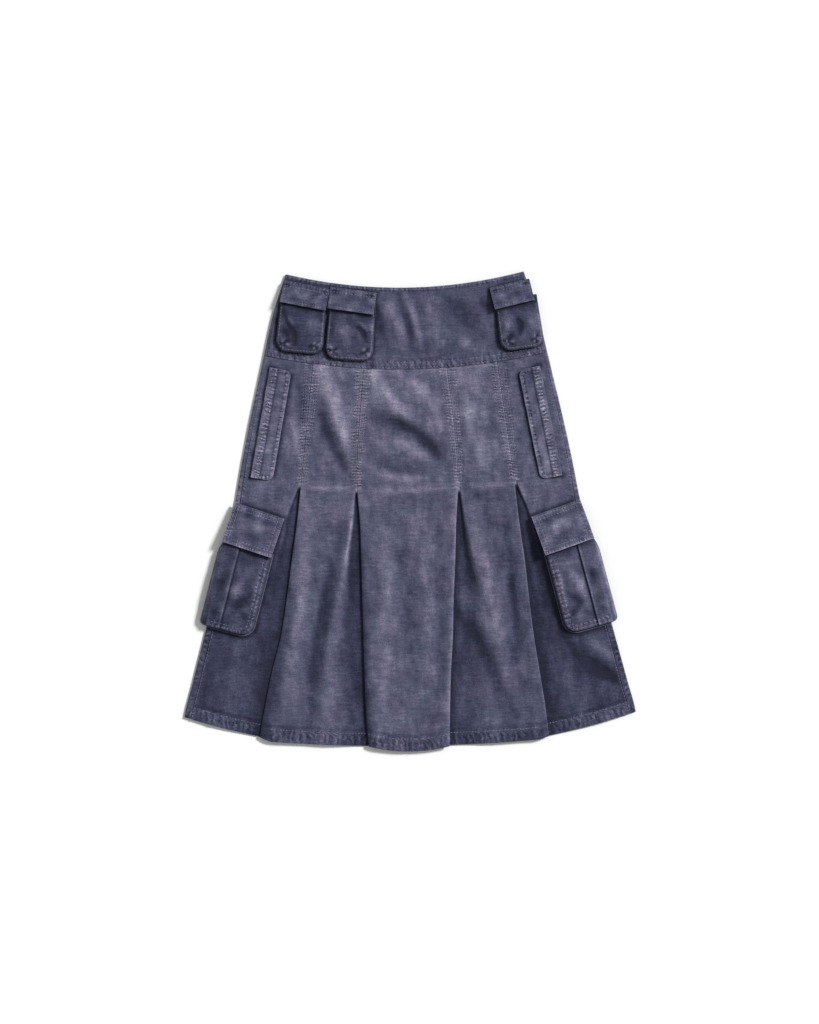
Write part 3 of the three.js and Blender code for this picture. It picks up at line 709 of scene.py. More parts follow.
def rounded_length(around, sizes, turned):
    """A short rounded length along x. Turned, its poles are at its ends."""
    bm = bmesh.new()
    bmesh.ops.create_uvsphere(bm, u_segments=around, v_segments=4, radius=1)
    if turned:
        bmesh.ops.rotate(bm, verts=bm.verts, matrix=Matrix.Rotation(math.pi / 2, 3, "Y"))
    bmesh.ops.scale(bm, verts=bm.verts, vec=sizes)
    return meshed(bm, "rounded length")


def repeated(name, template, places):
    """One mesh of a template set down at each place."""
    bm = bmesh.new()
    for at in places:
        template.transform(at)
        bm.from_mesh(template)
        template.transform(at.inverted())
    bpy.data.meshes.remove(template)
    return meshed(bm, name)


def spaced(line, pitch):
    """Places along a line, one pitch apart, each with its direction."""
    line = np.array(line, float)
    steps = np.hypot(*np.diff(line, axis=0).T)
    run = np.concatenate([[0], np.cumsum(steps)])
    at = np.arange(pitch / 2, run[-1], pitch)
    places = np.stack([np.interp(at, run, line[:, i]) for i in (0, 1)], axis=1)
    ahead = np.stack([np.interp(at + 0.5, run, line[:, i]) for i in (0, 1)], axis=1)
    behind = np.stack([np.interp(at - 0.5, run, line[:, i]) for i in (0, 1)], axis=1)
    return places, ahead - behind


def sew(made, lines, under=False):
    """Rows of stitches pressed into a piece's top, or into its underside."""
    bpy.context.view_layer.update()
    surface = BVHTree.FromObject(made, bpy.context.evaluated_depsgraph_get())
    start, way = (-0.05, Vector((0, 0, 1))) if under else (0.1, Vector((0, 0, -1)))
    places = []
    for line in lines:
        for (x, y), (run_x, run_y) in zip(*spaced(line, STITCH["pitch"])):
            hit, normal, _, _ = surface.ray_cast(Vector((x * MM, y * MM, start)), way)
            if hit is None or normal.dot(way) > -0.55:
                continue
            along = Vector((run_x, run_y, 0))
            along = (along - normal * along.dot(normal)).normalized()
            turn = Matrix((along, normal.cross(along), normal)).transposed().to_4x4()
            places.append(Matrix.Translation(hit) @ turn)
    if not places:
        return None
    half, thread = STITCH["length"] / 2 * MM, STITCH["thread"] * MM
    stitch = rounded_length(6, (half, thread, thread), True)
    name = f"stitches_{made.name}"
    return put(name, repeated(name, stitch, places), THREAD)


# The skirt's rows: 0 at the yoke seam, 1 at the release, 2 at the hem

SKIRT_ROWS = np.concatenate(
    [np.linspace(0, 1, 62)[:-1], 1 + np.linspace(0, 1, 131)[:-1], [2 - 0.002, 2]]
)[:, None]
TUCKED_UNDER_YOKE = 5


def hem_y(hem, x):
    """The hem's line. A middle panel's runs softly into the side panel's at its outer fold."""
    line = level(HEMS[hem], x)
    if hem != "middle":
        return line
    start = np.where(np.asarray(x) < 0, HEM_JOIN["left"], HEM_JOIN["right"])
    return mix(line, level(HEMS["side"], x), smooth((np.abs(x) - start) / HEM_JOIN["width"]))


def skirt_y(rows, x, hem):
    tucked = -GAP / 2 if hem == "back" else TUCKED_UNDER_YOKE
    upper = mix(level(YOKE_SEAM, x) + tucked, level(RELEASE, x), rows)
    lower = mix(level(RELEASE, x), hem_y(hem, x), rows - 1)
    return np.where(rows < 1, upper, lower)


def crossing(rows, hem, line_x, x):
    for _ in range(6):
        x = line_x(skirt_y(rows, x, hem))
    return x


def fold_x(rows, hem, pleat):
    start = np.full(rows.shape, float(PLEAT_FOLDS[pleat][3]))
    return crossing(rows, hem, lambda y: look(PLEAT_FOLDS, "y", y, pleat), start)


def side_x(rows, hem, side):
    return crossing(rows, hem, lambda y: side * half_width(y), np.full(rows.shape, side * 250.0))


def seam_x(rows, hem, side):
    edge = side_x(rows, hem, side)
    return edge - side * look(SIDE_EDGE, "y", skirt_y(rows, edge, hem), "wrap")


def opening(pleat, x, y, column=None):
    return look(PLEAT_OPENING, "down", down_from_release(x, y), column or pleat)


def under_yoke(x, y):
    """How far a panel drops where its seam allowance goes under the yoke."""
    return 1.7 * smooth((y - level(YOKE_SEAM, x) + 1.2) / 2.4)


def hem_extra(x, y, hem):
    return HEM_EXTRA * smooth((HEM_TURN - (y - hem_y(hem, x))) / 1.6)


def panel_z(rows, panel, x, folded_pleats):
    """Height of a front panel that rises to its folded edges."""
    y = skirt_y(rows, x, panel)
    flat = height(panel, x, y)
    lift = np.zeros(np.shape(x))
    drop = 0
    for pleat in folded_pleats:
        away = np.abs(x - fold_x(rows, panel, pleat))
        lift = np.maximum(lift, np.clip(1 - away / EDGE_REACH, 0, 1) ** 2)
        down = down_from_release(x, y)
        most, width = look(EDGE_DROP, "down", down, pleat), look(EDGE_ROLL, "down", down, pleat)
        drop = drop + most * np.clip(1 - away / width, 0, 1) ** 2
    relief = front_relief(x, y) + 0.5 * uneven(x, y, 62, 3) + 0.22 * uneven(x, y, 24, 4)
    risen = flat + (height("fold", x, y) - flat) * lift + relief * (1 - lift) ** 0.6 - drop
    return risen + hem_extra(x, y, panel) - under_yoke(x, y)


def fold_centre(rows, hem, pleat, side):
    return fold_x(rows, hem, pleat) - side * (FOLD_RADIUS + SKIRT_CLOTH / 2)


def folded_edge(rows, panel, pleat, side, z_at):
    """A panel's return and half turn, from the hidden end to the top."""
    centre = fold_centre(rows, panel, pleat, side)
    returned = centre - side * np.array(RETURN_AT)
    turns = np.linspace(-math.pi / 2, math.pi / 2, 7)[None, :]
    top = z_at(centre)
    x = np.hstack([returned, centre + side * FOLD_RADIUS * np.cos(turns)])
    z = np.concatenate(
        [z_at(returned) - 2 * FOLD_RADIUS, top - FOLD_RADIUS + FOLD_RADIUS * np.sin(turns)], axis=1
    )
    return x, z


# How much painted shade darkens each pleat's underlay
UNDERLAY_SHADE = {"outer_left": 0.1, "inner_left": 0.4, "inner_right": 0.15, "outer_right": 0.05}


def underlay(rows, hem, pleat, side, crest_height):
    """The far side of a pleat: tucked end, underlay and the step up to its panel, with its painted shade.
    """
    edge = fold_x(rows, hem, pleat)
    y = skirt_y(rows, edge, hem)
    shown, step, tuck = (opening(pleat, edge, y, c) for c in (pleat, "step", "tuck"))
    offset = mix(-tuck, shown + step / 2, np.linspace(0, 1, 19)[None, :])
    x = edge + side * offset
    crest = height(crest_height, edge, y)
    sunk = smooth(down_from_release(edge, y) / 9)
    climb = smooth((offset - shown + step / 2) / step)
    z = mix(mix(crest, UNDERLAY_Z, sunk), crest, climb)
    y = skirt_y(rows, x, hem)
    # Painted shade over the underlay, a darker painted shadow beside the fold that hangs over it, and a
    # pale line along the fold where the pleat is still closed
    settled = smooth((shown + step / 2 - offset) / (0.8 * step + 4))
    shadow_beside_fold = 2.1 * (1 - climb) * fading(np.clip(offset, 0, None), 5.5)
    underlay_painted_light = -sunk * (UNDERLAY_SHADE[pleat] * settled + shadow_beside_fold)
    underlay_painted_light = underlay_painted_light + 0.6 * (1 - sunk) * fading(np.abs(offset), 1.5)
    return x, z + hem_extra(x, y, hem) * climb - under_yoke(x, y), underlay_painted_light


def to_right(side, *fields):
    """A left piece's columns, worked from the middle outwards, turned to run to the right."""
    return [field[:, ::-1] for field in fields] if side < 0 else fields


def between(x0, x1):
    """Columns between two edges, the edges themselves left out."""
    width = float(np.abs(x1 - x0).max())
    return mix(x0, x1, np.linspace(0, 1, round(width / COLUMN_WIDTH) + 1)[1:-1][None, :])


def painted_edge_light(x, y, edge, pleat):
    """Painted light along a folded edge below the release: painted shade on an edge that faces left, a
    painted highlight on one that faces right, and a pale line where the pleat is still closed.
    """
    down = down_from_release(x, y)
    shade = look(EDGE_SHADE, "down", down, pleat) * smooth(down / 20)
    closed = 0.6 * (1 - smooth(down / 20)) * fading(np.abs(x - edge), 1.5)
    return closed + shade * fading(np.abs(x - edge), EDGE_SHADE_REACH[pleat])


# Rows of stitches, as lines of points in plan


def row(line, reach=2.2, strength=0.35, pitch=4.5, slant=0.0, sewn=True):
    """A row of stitches along a line, with its puckers: their reach, depth, pitch and slant."""
    return {
        "line": np.array(line, float),
        "reach": reach,
        "strength": strength,
        "pitch": pitch,
        "slant": slant,
        "sewn": sewn,
    }


def level_line(curve, above, x0, x1):
    x = np.linspace(x0, x1, max(2, round(abs(x1 - x0) / LINE_STEP)))
    return np.stack([x, level(curve, x) + above], axis=1)


BAND_ROWS = [-11, -7, -1.6, 1.6, 7, 11]


def band_lines(pleat):
    """Rows of stitches that close a pleat, drawing together towards its release."""
    lines = []
    for offset in BAND_ROWS:
        top = level(YOKE_SEAM, PLEAT_FOLDS[pleat][0]) - 1
        y = np.linspace(top, level(RELEASE, PLEAT_FOLDS[pleat][1]) + 2, 20)
        fold = look(PLEAT_FOLDS, "y", y, pleat)
        narrowing = mix(0.45, 1, np.clip((y - 31) / 183, 0, 1))
        lines.append(row(np.stack([fold + offset * narrowing, y], axis=1), 1.8, 0.58))
    return lines


PLEATS = ("outer_left", "inner_left", "inner_right", "outer_right")
BANDS = [line for pleat in PLEATS for line in band_lines(pleat)]


def hem_rows(hem, x0, x1):
    """The row that holds the hem's turn, and the slanting ripples of the band below it."""
    x = np.linspace(x0, x1, max(2, round(abs(x1 - x0) / LINE_STEP)))
    sewn = np.stack([x, hem_y(hem, x) + HEM_TURN - HEM_SEWN_BELOW], axis=1)
    band = np.stack([x, hem_y(hem, x) + HEM_TURN / 2 - 1], axis=1)
    return [row(sewn, 2.2, 0.3, 8, 0.1), row(band, 10.5, 0.42, 9, 0.1, False)]


def hem_tone_and_shadow(x, y, hem, inside):
    """The hem band, with a pale edge along its row of stitches and a painted shadow line above the turn."""
    above = y - hem_y(hem, x) - HEM_TURN
    pale = 0.5 * bell(above + 0.6, 1)
    painted_dark = 0.7 * bell(above - 2.6, 1.8)
    return inside * smooth(-above / 2) + pale - painted_dark


def near(lines, x):
    low, high = float(np.min(x)) - 12, float(np.max(x)) + 12
    return [r for r in lines if r["line"][:, 0].max() > low and r["line"][:, 0].min() < high]


# The skirt's panels


def centre_panel():
    pleats = ["inner_left", "inner_right"]
    rows = SKIRT_ROWS

    def z_at(x):
        return panel_z(rows, "centre", x, pleats)

    left, left_z = folded_edge(rows, "centre", pleats[0], -1, z_at)
    right, right_z = folded_edge(rows, "centre", pleats[1], 1, z_at)
    middle = between(left[:, -1:], right[:, -1:])
    x = np.hstack([left, middle, right[:, ::-1]])
    z = np.hstack([left_z, z_at(middle), right_z[:, ::-1]])
    y = skirt_y(rows, x, "centre")
    # Painted shade and painted highlights along the folded edges
    wear_and_painted_light = sum(painted_edge_light(x, y, fold_x(rows, "centre", pleat), pleat) for pleat in pleats)
    wear_and_painted_light += folds_worn_and_shaded(FRONT_FOLDS + FRONT_MARKS, x, y) + hem_tone_and_shadow(x, y, "centre", -0.55)
    lines = near(BANDS, x) + hem_rows("centre", -64, 60)
    cloth(
        "centre_panel", x, y, z, SKIRT_CLOTH, "panel", lines, wear_and_painted_light,
    )


# How pale the middle panels are below the release
MIDDLE_FADE = {"left": 0.25, "right": -0.12}


def middle_panel(name, side):
    inner, outer = ("inner_left", "outer_left") if side < 0 else ("inner_right", "outer_right")
    rows = SKIRT_ROWS

    def z_at(x):
        return panel_z(rows, "middle", x, [outer])

    tucked, tucked_z, underlay_painted_light = underlay(rows, "middle", inner, side, "middle")
    crest, crest_z = tucked[:, -1:], tucked_z[:, -1:]
    folded, folded_z = folded_edge(rows, "middle", outer, side, z_at)
    middle = between(crest, folded[:, -1:])
    share = (middle - crest) / (folded[:, -1:] - crest)
    settle = (crest_z - z_at(crest)) * (1 - smooth(share * 2))
    x = np.hstack([tucked, middle, folded[:, ::-1]])
    z = np.hstack([tucked_z, z_at(middle) + settle, folded_z[:, ::-1]])
    y = skirt_y(rows, x, "middle")
    # Painted light along the folded outer edge: painted shade on the left panel, a painted highlight on the
    # right one
    wear_and_painted_light = painted_edge_light(x, y, fold_x(rows, "middle", outer), outer)
    wear_and_painted_light += folds_worn_and_shaded(FRONT_FOLDS + FRONT_MARKS, x, y) + hem_tone_and_shadow(x, y, "middle", -0.45)
    wear_and_painted_light += mix(0.2, MIDDLE_FADE[name], smooth(down_from_release(x, y) / 40 + 0.5))
    # Painted shade on the underlay
    wear_and_painted_light[:, : tucked.shape[1]] += underlay_painted_light
    x, y, z, wear_and_painted_light = to_right(side, x, y, z, wear_and_painted_light)
    lines = near(BANDS, x) + hem_rows("middle", float(x[-1, 0]), float(x[-1, -1]))
    cloth(
        f"{name}_middle_panel", x, y, z, SKIRT_CLOTH, "middle", lines, wear_and_painted_light,
    )


def side_fade(y):
    """The dye of the side panels, darker towards the hem."""
    return mix(0.25, -0.6, smooth((60 - y) / 190))


def side_line(side, inward, y0, y1):
    y = np.linspace(y0, y1, round(abs(y1 - y0) / LINE_STEP))
    return np.stack([side * (half_width(y) - look(SIDE_EDGE, "y", y, "wrap") - inward), y], axis=1)


def side_panel(name, side):
    pleat = "outer_left" if side < 0 else "outer_right"
    rows = SKIRT_ROWS
    tucked, tucked_z, underlay_painted_light = underlay(rows, "side", pleat, side, "crest")
    crest, crest_z = tucked[:, -1:], tucked_z[:, -1:]
    seam = seam_x(rows, "side", side) - side * GAP
    middle = between(crest, seam)
    middle = np.hstack([middle, seam])
    share = (middle - crest) / (seam - crest)
    y = skirt_y(rows, middle, "side")
    relief = front_relief(middle, y) + 0.4 * uneven(middle, y, 58, 7) + 0.16 * uneven(middle, y, 22, 8)
    z = mix(crest_z, height("wrap", middle, y), smooth(share)) + relief * np.sin(math.pi * share)
    z += hem_extra(middle, y, "side") - under_yoke(middle, y)
    x = np.hstack([tucked, middle])
    z = np.hstack([tucked_z, z])
    y = skirt_y(rows, x, "side")
    wear_and_painted_light = side_fade(y) + folds_worn_and_shaded(FRONT_FOLDS, x, y) + hem_tone_and_shadow(x, y, "side", 0.15)
    # Painted shadows round the cargo pockets and side flaps, and painted shadow along the yoke seam
    wear_and_painted_light += 1.7 * painted_shadow_at(OUTLINES, x, y, 4.6) - 0.9 * fading(np.abs(level(YOKE_SEAM, x) - y), 12)
    # Painted shade on the underlay
    wear_and_painted_light[:, : tucked.shape[1]] += underlay_painted_light
    x, y, z, wear_and_painted_light = to_right(side, x, y, z, wear_and_painted_light)
    lines = near(BANDS, x) + hem_rows("side", float(x[-1, 0]), float(x[-1, -1]))
    lines += [row(side_line(side, 2.4, 205, -318))]
    cloth(
        f"{name}_side_panel", x, y, z, SKIRT_CLOTH, "side", lines, wear_and_painted_light,
    )


def back_shape(rows, y_at, edge, seam, top, middle, side, cells):
    """A back piece: flat on the surface, then round the side edge on to the front."""
    radius = (top - middle) / 2
    centre = edge - side * (radius + middle)
    flat = mix(side * GAP / 2, centre, np.array([0, 0.006, *np.linspace(0, 1, cells)[1:]])[None, :])
    turns = np.linspace(-math.pi / 2, math.pi / 2, 11)[None, 1:]
    wrapped = mix(centre, seam, np.array([[0.2, 0.5, 0.8, 0.93, 0.98, 1]]))
    x = np.hstack([flat, centre + side * radius * np.cos(turns), wrapped])
    y = y_at(x)
    lifted = soft_folds(BACK_FOLDS, flat, y[:, : flat.shape[1]])
    turned = middle + radius + radius * np.sin(turns)
    on_top = mix(top, top + 0.4, smooth((wrapped - centre) / (seam - centre)))
    z = np.hstack([middle + lifted, turned, on_top])
    return to_right(side, x, y, z)


BACK_ROWS = np.concatenate([np.linspace(0, 1, 40)[:-1], 1 + np.linspace(0, 1, 80)])[:, None]
BACK_Z = 0.75


def back_panel(name, side):
    edge = side_x(BACK_ROWS, "back", side)
    top = height("wrap", edge, skirt_y(BACK_ROWS, edge, "back"))
    seam = seam_x(BACK_ROWS, "side", side)
    x, y, z = back_shape(
        BACK_ROWS, lambda x: skirt_y(BACK_ROWS, x, "back"), edge, seam, top, BACK_Z, side, 62
    )
    rows = [row([(side * inward, 205), (side * inward, -345)]) for inward in (3, 8)]
    rows += [row(level_line(HEMS["back"], HEM_TURN, side * 2, side * 330))]
    band = level_line(HEMS["back"], HEM_TURN / 2, side * 2, side * 338)
    rows += [row(band, 10.5, 0.5, 9, 0.1, False)]
    rows += [row(side_line(side, -5, 200, -320), 4, 0.4, 9, 0, False)]
    wear_and_painted_light = side_fade(y) + 0.25 * uneven(x, y, 40, 35) + hem_tone_and_shadow(x, y, "back", 0.1)
    wear_and_painted_light -= 0.6 * smooth((half_width(y) - 14 - np.abs(x)) / 12)
    cloth(
        f"{name}_back", x, y, z, SKIRT_CLOTH, "side", rows, wear_and_painted_light, under=True
    )


YOKE_ROWS = shares(124, 2.6)[:, None]


def yoke_y(x):
    return mix(level(WAIST, x), level(YOKE_SEAM, x), YOKE_ROWS)


def yoke_edge(side):
    x = np.full(YOKE_ROWS.shape, side * 200.0)
    for _ in range(6):
        x = side * half_width(yoke_y(x))
    return x


def yoke_wrap(edge):
    return look(SIDE_EDGE, "y", yoke_y(edge), "wrap")


def front_yoke():
    left, right = yoke_edge(-1), yoke_edge(1)
    start, end = left + yoke_wrap(left) + GAP, right - yoke_wrap(right) - GAP
    x = mix(start, end, shares(390, 2.2)[None, :])
    y = yoke_y(x)
    above = y - level(YOKE_SEAM, x)
    below = level(WAIST, x) - y
    free = smooth(above / 22) * smooth(below / 22)
    relief = yoke_relief(x, y) + 0.35 * uneven(x, y, 50, 11) + 0.14 * uneven(x, y, 20, 12)
    z = YOKE_FRONT_Z + relief * free + SEAM_SWELL * bell(above - 4, 5)
    z += 0.35 * bell(below - 2.5, 3)
    # Pale along the seam and waist edges; painted shadows round the pockets; dark lines beside the waist's
    # row of stitches and at the seam's, painted shade in their grooves
    wear_and_painted_light = 0.6 * fading(above, 1.2) + 0.7 * fading(below, 1.2) + 1.3 * painted_shadow_at(OUTLINES, x, y)
    wear_and_painted_light -= 0.7 * bell(below - 4.6, 1.2) + 0.6 * bell(above - 2.6, 1.2)
    wear_and_painted_light += folds_worn_and_shaded(YOKE_FOLDS, x, y)
    wear_and_painted_light += 0.35 * uneven(x, y, 26, 33) * bell(above - 6, 7)
    lines = [row(level_line(YOKE_SEAM, above, -206, 206), 3.6, 0.45, 9, 0.2) for above in (2.4, 10)]
    lines += [row(level_line(WAIST, WAIST_ROW, -178, 178), 2.6, 0.45, 7)]
    cloth(
        "yoke_front", x, y, z, YOKE_CLOTH, "yoke", lines, wear_and_painted_light,
    )


def back_yoke(name, side):
    edge = yoke_edge(side)
    seam = edge - side * yoke_wrap(edge)
    top = np.full(edge.shape, YOKE_FRONT_Z)
    x, y, z = back_shape(YOKE_ROWS, yoke_y, edge, seam, top, BACK_YOKE_Z, side, 60)
    z = np.where(z < 2, BACK_YOKE_Z, z)
    x0, x1 = sorted((side * 4, side * 200))
    lines = [row(level_line(YOKE_SEAM, above, x0, x1)) for above in (3, 10)]
    lines += [row(level_line(WAIST, WAIST_ROW, side * 4, side * 174))]
    cloth(f"yoke_back_{name}", x, y, z, YOKE_CLOTH, "yoke", lines, 0, under=True)


# Pockets, each in its own frame: across to the right, down from the upper edge


def place(frame_of, across, down):
    x, y, degrees = frame_of
    turn = math.radians(degrees)
    return (
        x + across * math.cos(turn) + down * math.sin(turn),
        y + across * math.sin(turn) - down * math.cos(turn),
    )


def pocket_line(frame_of, points):
    return np.array([place(frame_of, across, down) for across, down in points])


def top_under(x, y):
    """Top of the cloth that a pocket is sewn to."""
    x, y = np.broadcast_arrays(np.asarray(x, float), np.asarray(y, float))
    result = np.full(x.shape, YOKE_FRONT_Z + YOKE_FRAME_CLOTH / 2)
    for side, pleat in ((-1, "outer_left"), (1, "outer_right")):
        edge = look(PLEAT_FOLDS, "y", y, pleat)
        crest_x = edge + side * (opening(pleat, edge, y) + opening(pleat, edge, y, "step") / 2)
        seam = side * (half_width(y) - look(SIDE_EDGE, "y", y, "wrap") - GAP)
        share = np.clip((x - crest_x) / (seam - crest_x), 0, 1)
        under = mix(height("crest", edge, y), height("wrap", x, y), smooth(share))
        under += front_relief(x, y) * np.sin(math.pi * share) + SKIRT_FRAME_CLOTH / 2
        here = (np.sign(x) == side) & (y <= level(YOKE_SEAM, x))
        result = np.where(here, under, result)
    return result


def squared(share):
    return np.clip(1 - np.abs(share) ** BAG_SQUARENESS, 0, None) ** (1 / BAG_SQUARENESS)


def rounded_half(half, length, corner, down):
    into = np.clip(down - (length - corner), 0, None)
    return half - corner + np.sqrt(np.clip(corner**2 - into**2, 0, None))


def bag_half(shape, side, share, down):
    """Half a bag's width. The outer edge of a cargo bag has its own corner and draws in upwards."""
    inner = rounded_half(shape["width"] / 2, shape["length"], shape["corner"], down) + 0 * share
    if side == 0:
        return inner - 1.6 * (1 - smooth(down / shape["length"]))
    edge = CARGO_OUTER_EDGE
    drawn_in = edge["taper"] * (1 - smooth(down / edge["taper_length"]))
    outer = rounded_half(shape["width"] / 2 - drawn_in, shape["length"], edge["corner"], down)
    return np.where(share * side > 0, outer, inner)


def bag_lines(frame_of, width, length, corner, inward, top, cut=True, strength=0.25, pitch=4.5):
    """A row of stitches along both sides and the bottom of a bag."""
    half, low = width / 2 - inward, length - inward
    bend = corner - inward
    points = [(-half, top)]
    for degrees in range(0, 91, 15):
        c, s = math.cos(math.radians(degrees)), math.sin(math.radians(degrees))
        points.append((-half + bend - bend * c, low - bend + bend * s))
    points += [(-across, down) for across, down in reversed(points)]
    line = pocket_line(frame_of, points)
    laid = np.abs(line[:, 0]) < half_width(line[:, 1]) - 3
    return row(line[laid] if cut else line, 2.2, strength, pitch)


def pocket_row(frame_of, points, *puckers):
    return row(pocket_line(frame_of, points), *puckers)


def flap_border(half, depth, inward):
    """A line inside a flap's sides and lower edge."""
    side, low = half - inward, depth - inward
    return [(-side, 1), (-side, low), (side, low), (side, 1)]


def rim(frame_of, width, length, corner):
    """The outline of a bag's sides and bottom in plan."""
    return bag_lines(frame_of, width, length, corner, 0, 0, cut=False)["line"]


def flap_foot(frame_of, width, depth):
    """The edges of a flap in plan."""
    half = width / 2
    return pocket_line(frame_of, [(half, 0), (-half, 0), (-half, depth), (half, depth), (half, 0)])


def pocket_outlines():
    """Each pocket's outline on the cloth below, in plan."""
    lines = []
    for spec in SMALL_POCKETS.values():
        lines.append(rim(spec["bag"], *spec["size"], SMALL_BAG["corner"]))
        lines.append(flap_foot(spec["flap"], spec["across"], SMALL_FLAP["depth"]))
    for frame_of in SIDE_FLAPS.values():
        half = SIDE_FLAP["width"] / 2
        inner = -math.copysign(half, frame_of[0])
        points = [(-inner, 0), (inner, 8), (inner, SIDE_FLAP["length"] - 8), (-inner, SIDE_FLAP["length"])]
        lines.append(pocket_line(frame_of, points))
    for spec in CARGO_POCKETS.values():
        out = GUSSET["showing"]
        wide, long = CARGO_BAG["width"] + 2 * out, CARGO_BAG["length"] + out
        lines.append(rim(spec["bag"], wide, long, CARGO_BAG["corner"] + out))
        lines.append(flap_foot(spec["flap"], CARGO_FLAP["width"], CARGO_FLAP["depth"]))
    return lines


def painted_shadow_at(lines, x, y, reach=3.4):
    """Painted shadow: minus one along the lines, fading to nothing."""
    painted_dark = np.zeros(np.shape(x))
    for line in lines:
        away, _ = to_line(line, x, y)
        painted_dark = np.minimum(painted_dark, -bell(away, reach))
    return painted_dark


def bag(name, frame_of, shape, side, rim_z, base_z, step_up, form, look_of, lines, flap_line):
    """A puffed bag, open at its upper edge, whose rim is sewn down and whose crown lies over it.

    Its form gives the dents and the wear and painted shade at each place, and columns that it needs
    besides.
    """
    width, length = shape["width"], shape["length"]
    dents, marks, more = form
    turn = np.linspace(0, 1, round(length / 1.8))
    down = (length * np.sin(turn * math.pi / 2) ** 0.9)[:, None]
    plain = np.sin(np.linspace(-math.pi / 2, math.pi / 2, round(width / 1.4)))
    share = np.sort(np.concatenate([plain, np.array(more) / (width / 2)]))[None, :]
    half = bag_half(shape, side, share, down)
    across, down = np.broadcast_arrays(share * half, down)
    x, y = place(frame_of, across, down)
    lift = squared(share) * squared(down / length)
    slack = shape["slack"] * (1 - smooth((down - 6) / (0.45 * length)))
    crown = base_z(x, y) + shape["rise"] - slack + step_up(across) * np.clip(lift * 2, 0, 1)
    z = mix(rim_z(x, y), crown + dents(across, down) * smooth(down / 20), lift)
    edge = np.minimum(half - np.abs(across), length - down)
    # Paler just inside the edge; darker right at the rim, painted shade where the puffed bag meets the
    # cloth below; a painted shadow along the flap's edge, and painted shade towards the top under the flap
    wear_and_painted_light = 0.6 * bell(edge - 2.6, 1.4) - 0.9 * fading(edge, 1.3) + marks(across, down)
    wear_and_painted_light = wear_and_painted_light + 1.3 * painted_shadow_at([flap_line], x, y, 4.2) - 0.3 * fading(down, 40)
    cloth(name, x, y, z, POCKET_CLOTH, look_of, lines, wear_and_painted_light)


def flap(name, frame_of, shape, under, lift, wave, marks, look_of, lines):
    """A flat flap, sewn along its upper edge and lying over the bag."""
    width, depth = shape["width"], shape["depth"]
    down = (shares(depth, 1.6, 0.5) * depth)[:, None]
    share = (shares(width, 1.8, 0.5) * 2 - 1)[None, :]
    across, down = np.broadcast_arrays(share * width / 2, down)
    x, y = place(frame_of, across, down)
    rise = lift * np.clip(down / depth, 0, 1) ** 0.62 * (1 - 0.1 * share**4)
    z = under(x, y) + GAP + FLAP_CLOTH / 2 + rise + wave(across, down) * smooth(down / 9)
    edge = np.minimum(width / 2 - np.abs(across), depth - down)
    wear_and_painted_light = 0.6 * fading(edge, 1.1) + 0.4 * fading(down, 1.2) + marks(across, down)
    cloth(name, x, y, z, FLAP_CLOTH, look_of, lines, wear_and_painted_light)


def small_bag_form(folds, width, length, fade, seed):
    """Folds as given, and a star of short creases where each lower corner is drawn together."""
    rng = np.random.default_rng(seed)
    rays = []
    for side in (-1, 1):
        corner_x, corner_y = side * (width / 2 - 12), length - 12
        for i in range(6):
            turn = math.radians(i * 60 + rng.uniform(-28, 28))
            end = rng.uniform(4, 12)
            start = (corner_x + 1.5 * math.cos(turn), corner_y + 1.5 * math.sin(turn))
            stop = (corner_x + end * math.cos(turn), corner_y + end * math.sin(turn))
            rays.append(([start, stop], rng.uniform(1.3, 3) * (-1) ** i, 1.6))
        rays.append(([(corner_x, corner_y), (corner_x + 0.5, corner_y)], -2.4, 2.0))

    def dents(across, down):
        return 0.7 * soft_folds(folds + rays, across, down) + 0.6 * uneven(across, down, 30, seed)

    def marks(across, down):
        # Pale on the folds' ridges, painted shade in their troughs and in the corner creases
        hand = 0.62 * soft_folds(folds + rays, across, down) + 0.2 * uneven(across, down, 16, seed + 7)
        return hand + fade

    return dents, marks, []


SMALL_BAG_FOLDS = {
    "left": [
        ([(-28, 26), (-19, 44), (-8, 60), (-6, 74)], -2.6, 3.2),
        ([(-22, 32), (-12, 48)], 1.4, 3),
        ([(-26, 50), (-16, 66)], -1.6, 3),
        ([(14, 30), (20, 60)], 1.3, 8),
    ],
    "middle": [
        ([(6, 34), (18, 42), (25, 56)], -2.6, 2.8),
        ([(14, 30), (24, 40)], 1.3, 2.6),
        ([(-14, 34), (-6, 62)], 1.2, 9),
        ([(-26, 30), (-30, 60)], -1.1, 4),
    ],
    "right": [
        ([(-4, 30), (1, 40), (-1, 56)], -2.4, 3.4),
        ([(-12, 54), (-18, 62)], -1.6, 2.4),
        ([(-18, 30), (-20, 52)], 1.0, 5),
        ([(18, 30), (20, 60)], 1.2, 7),
    ],
}


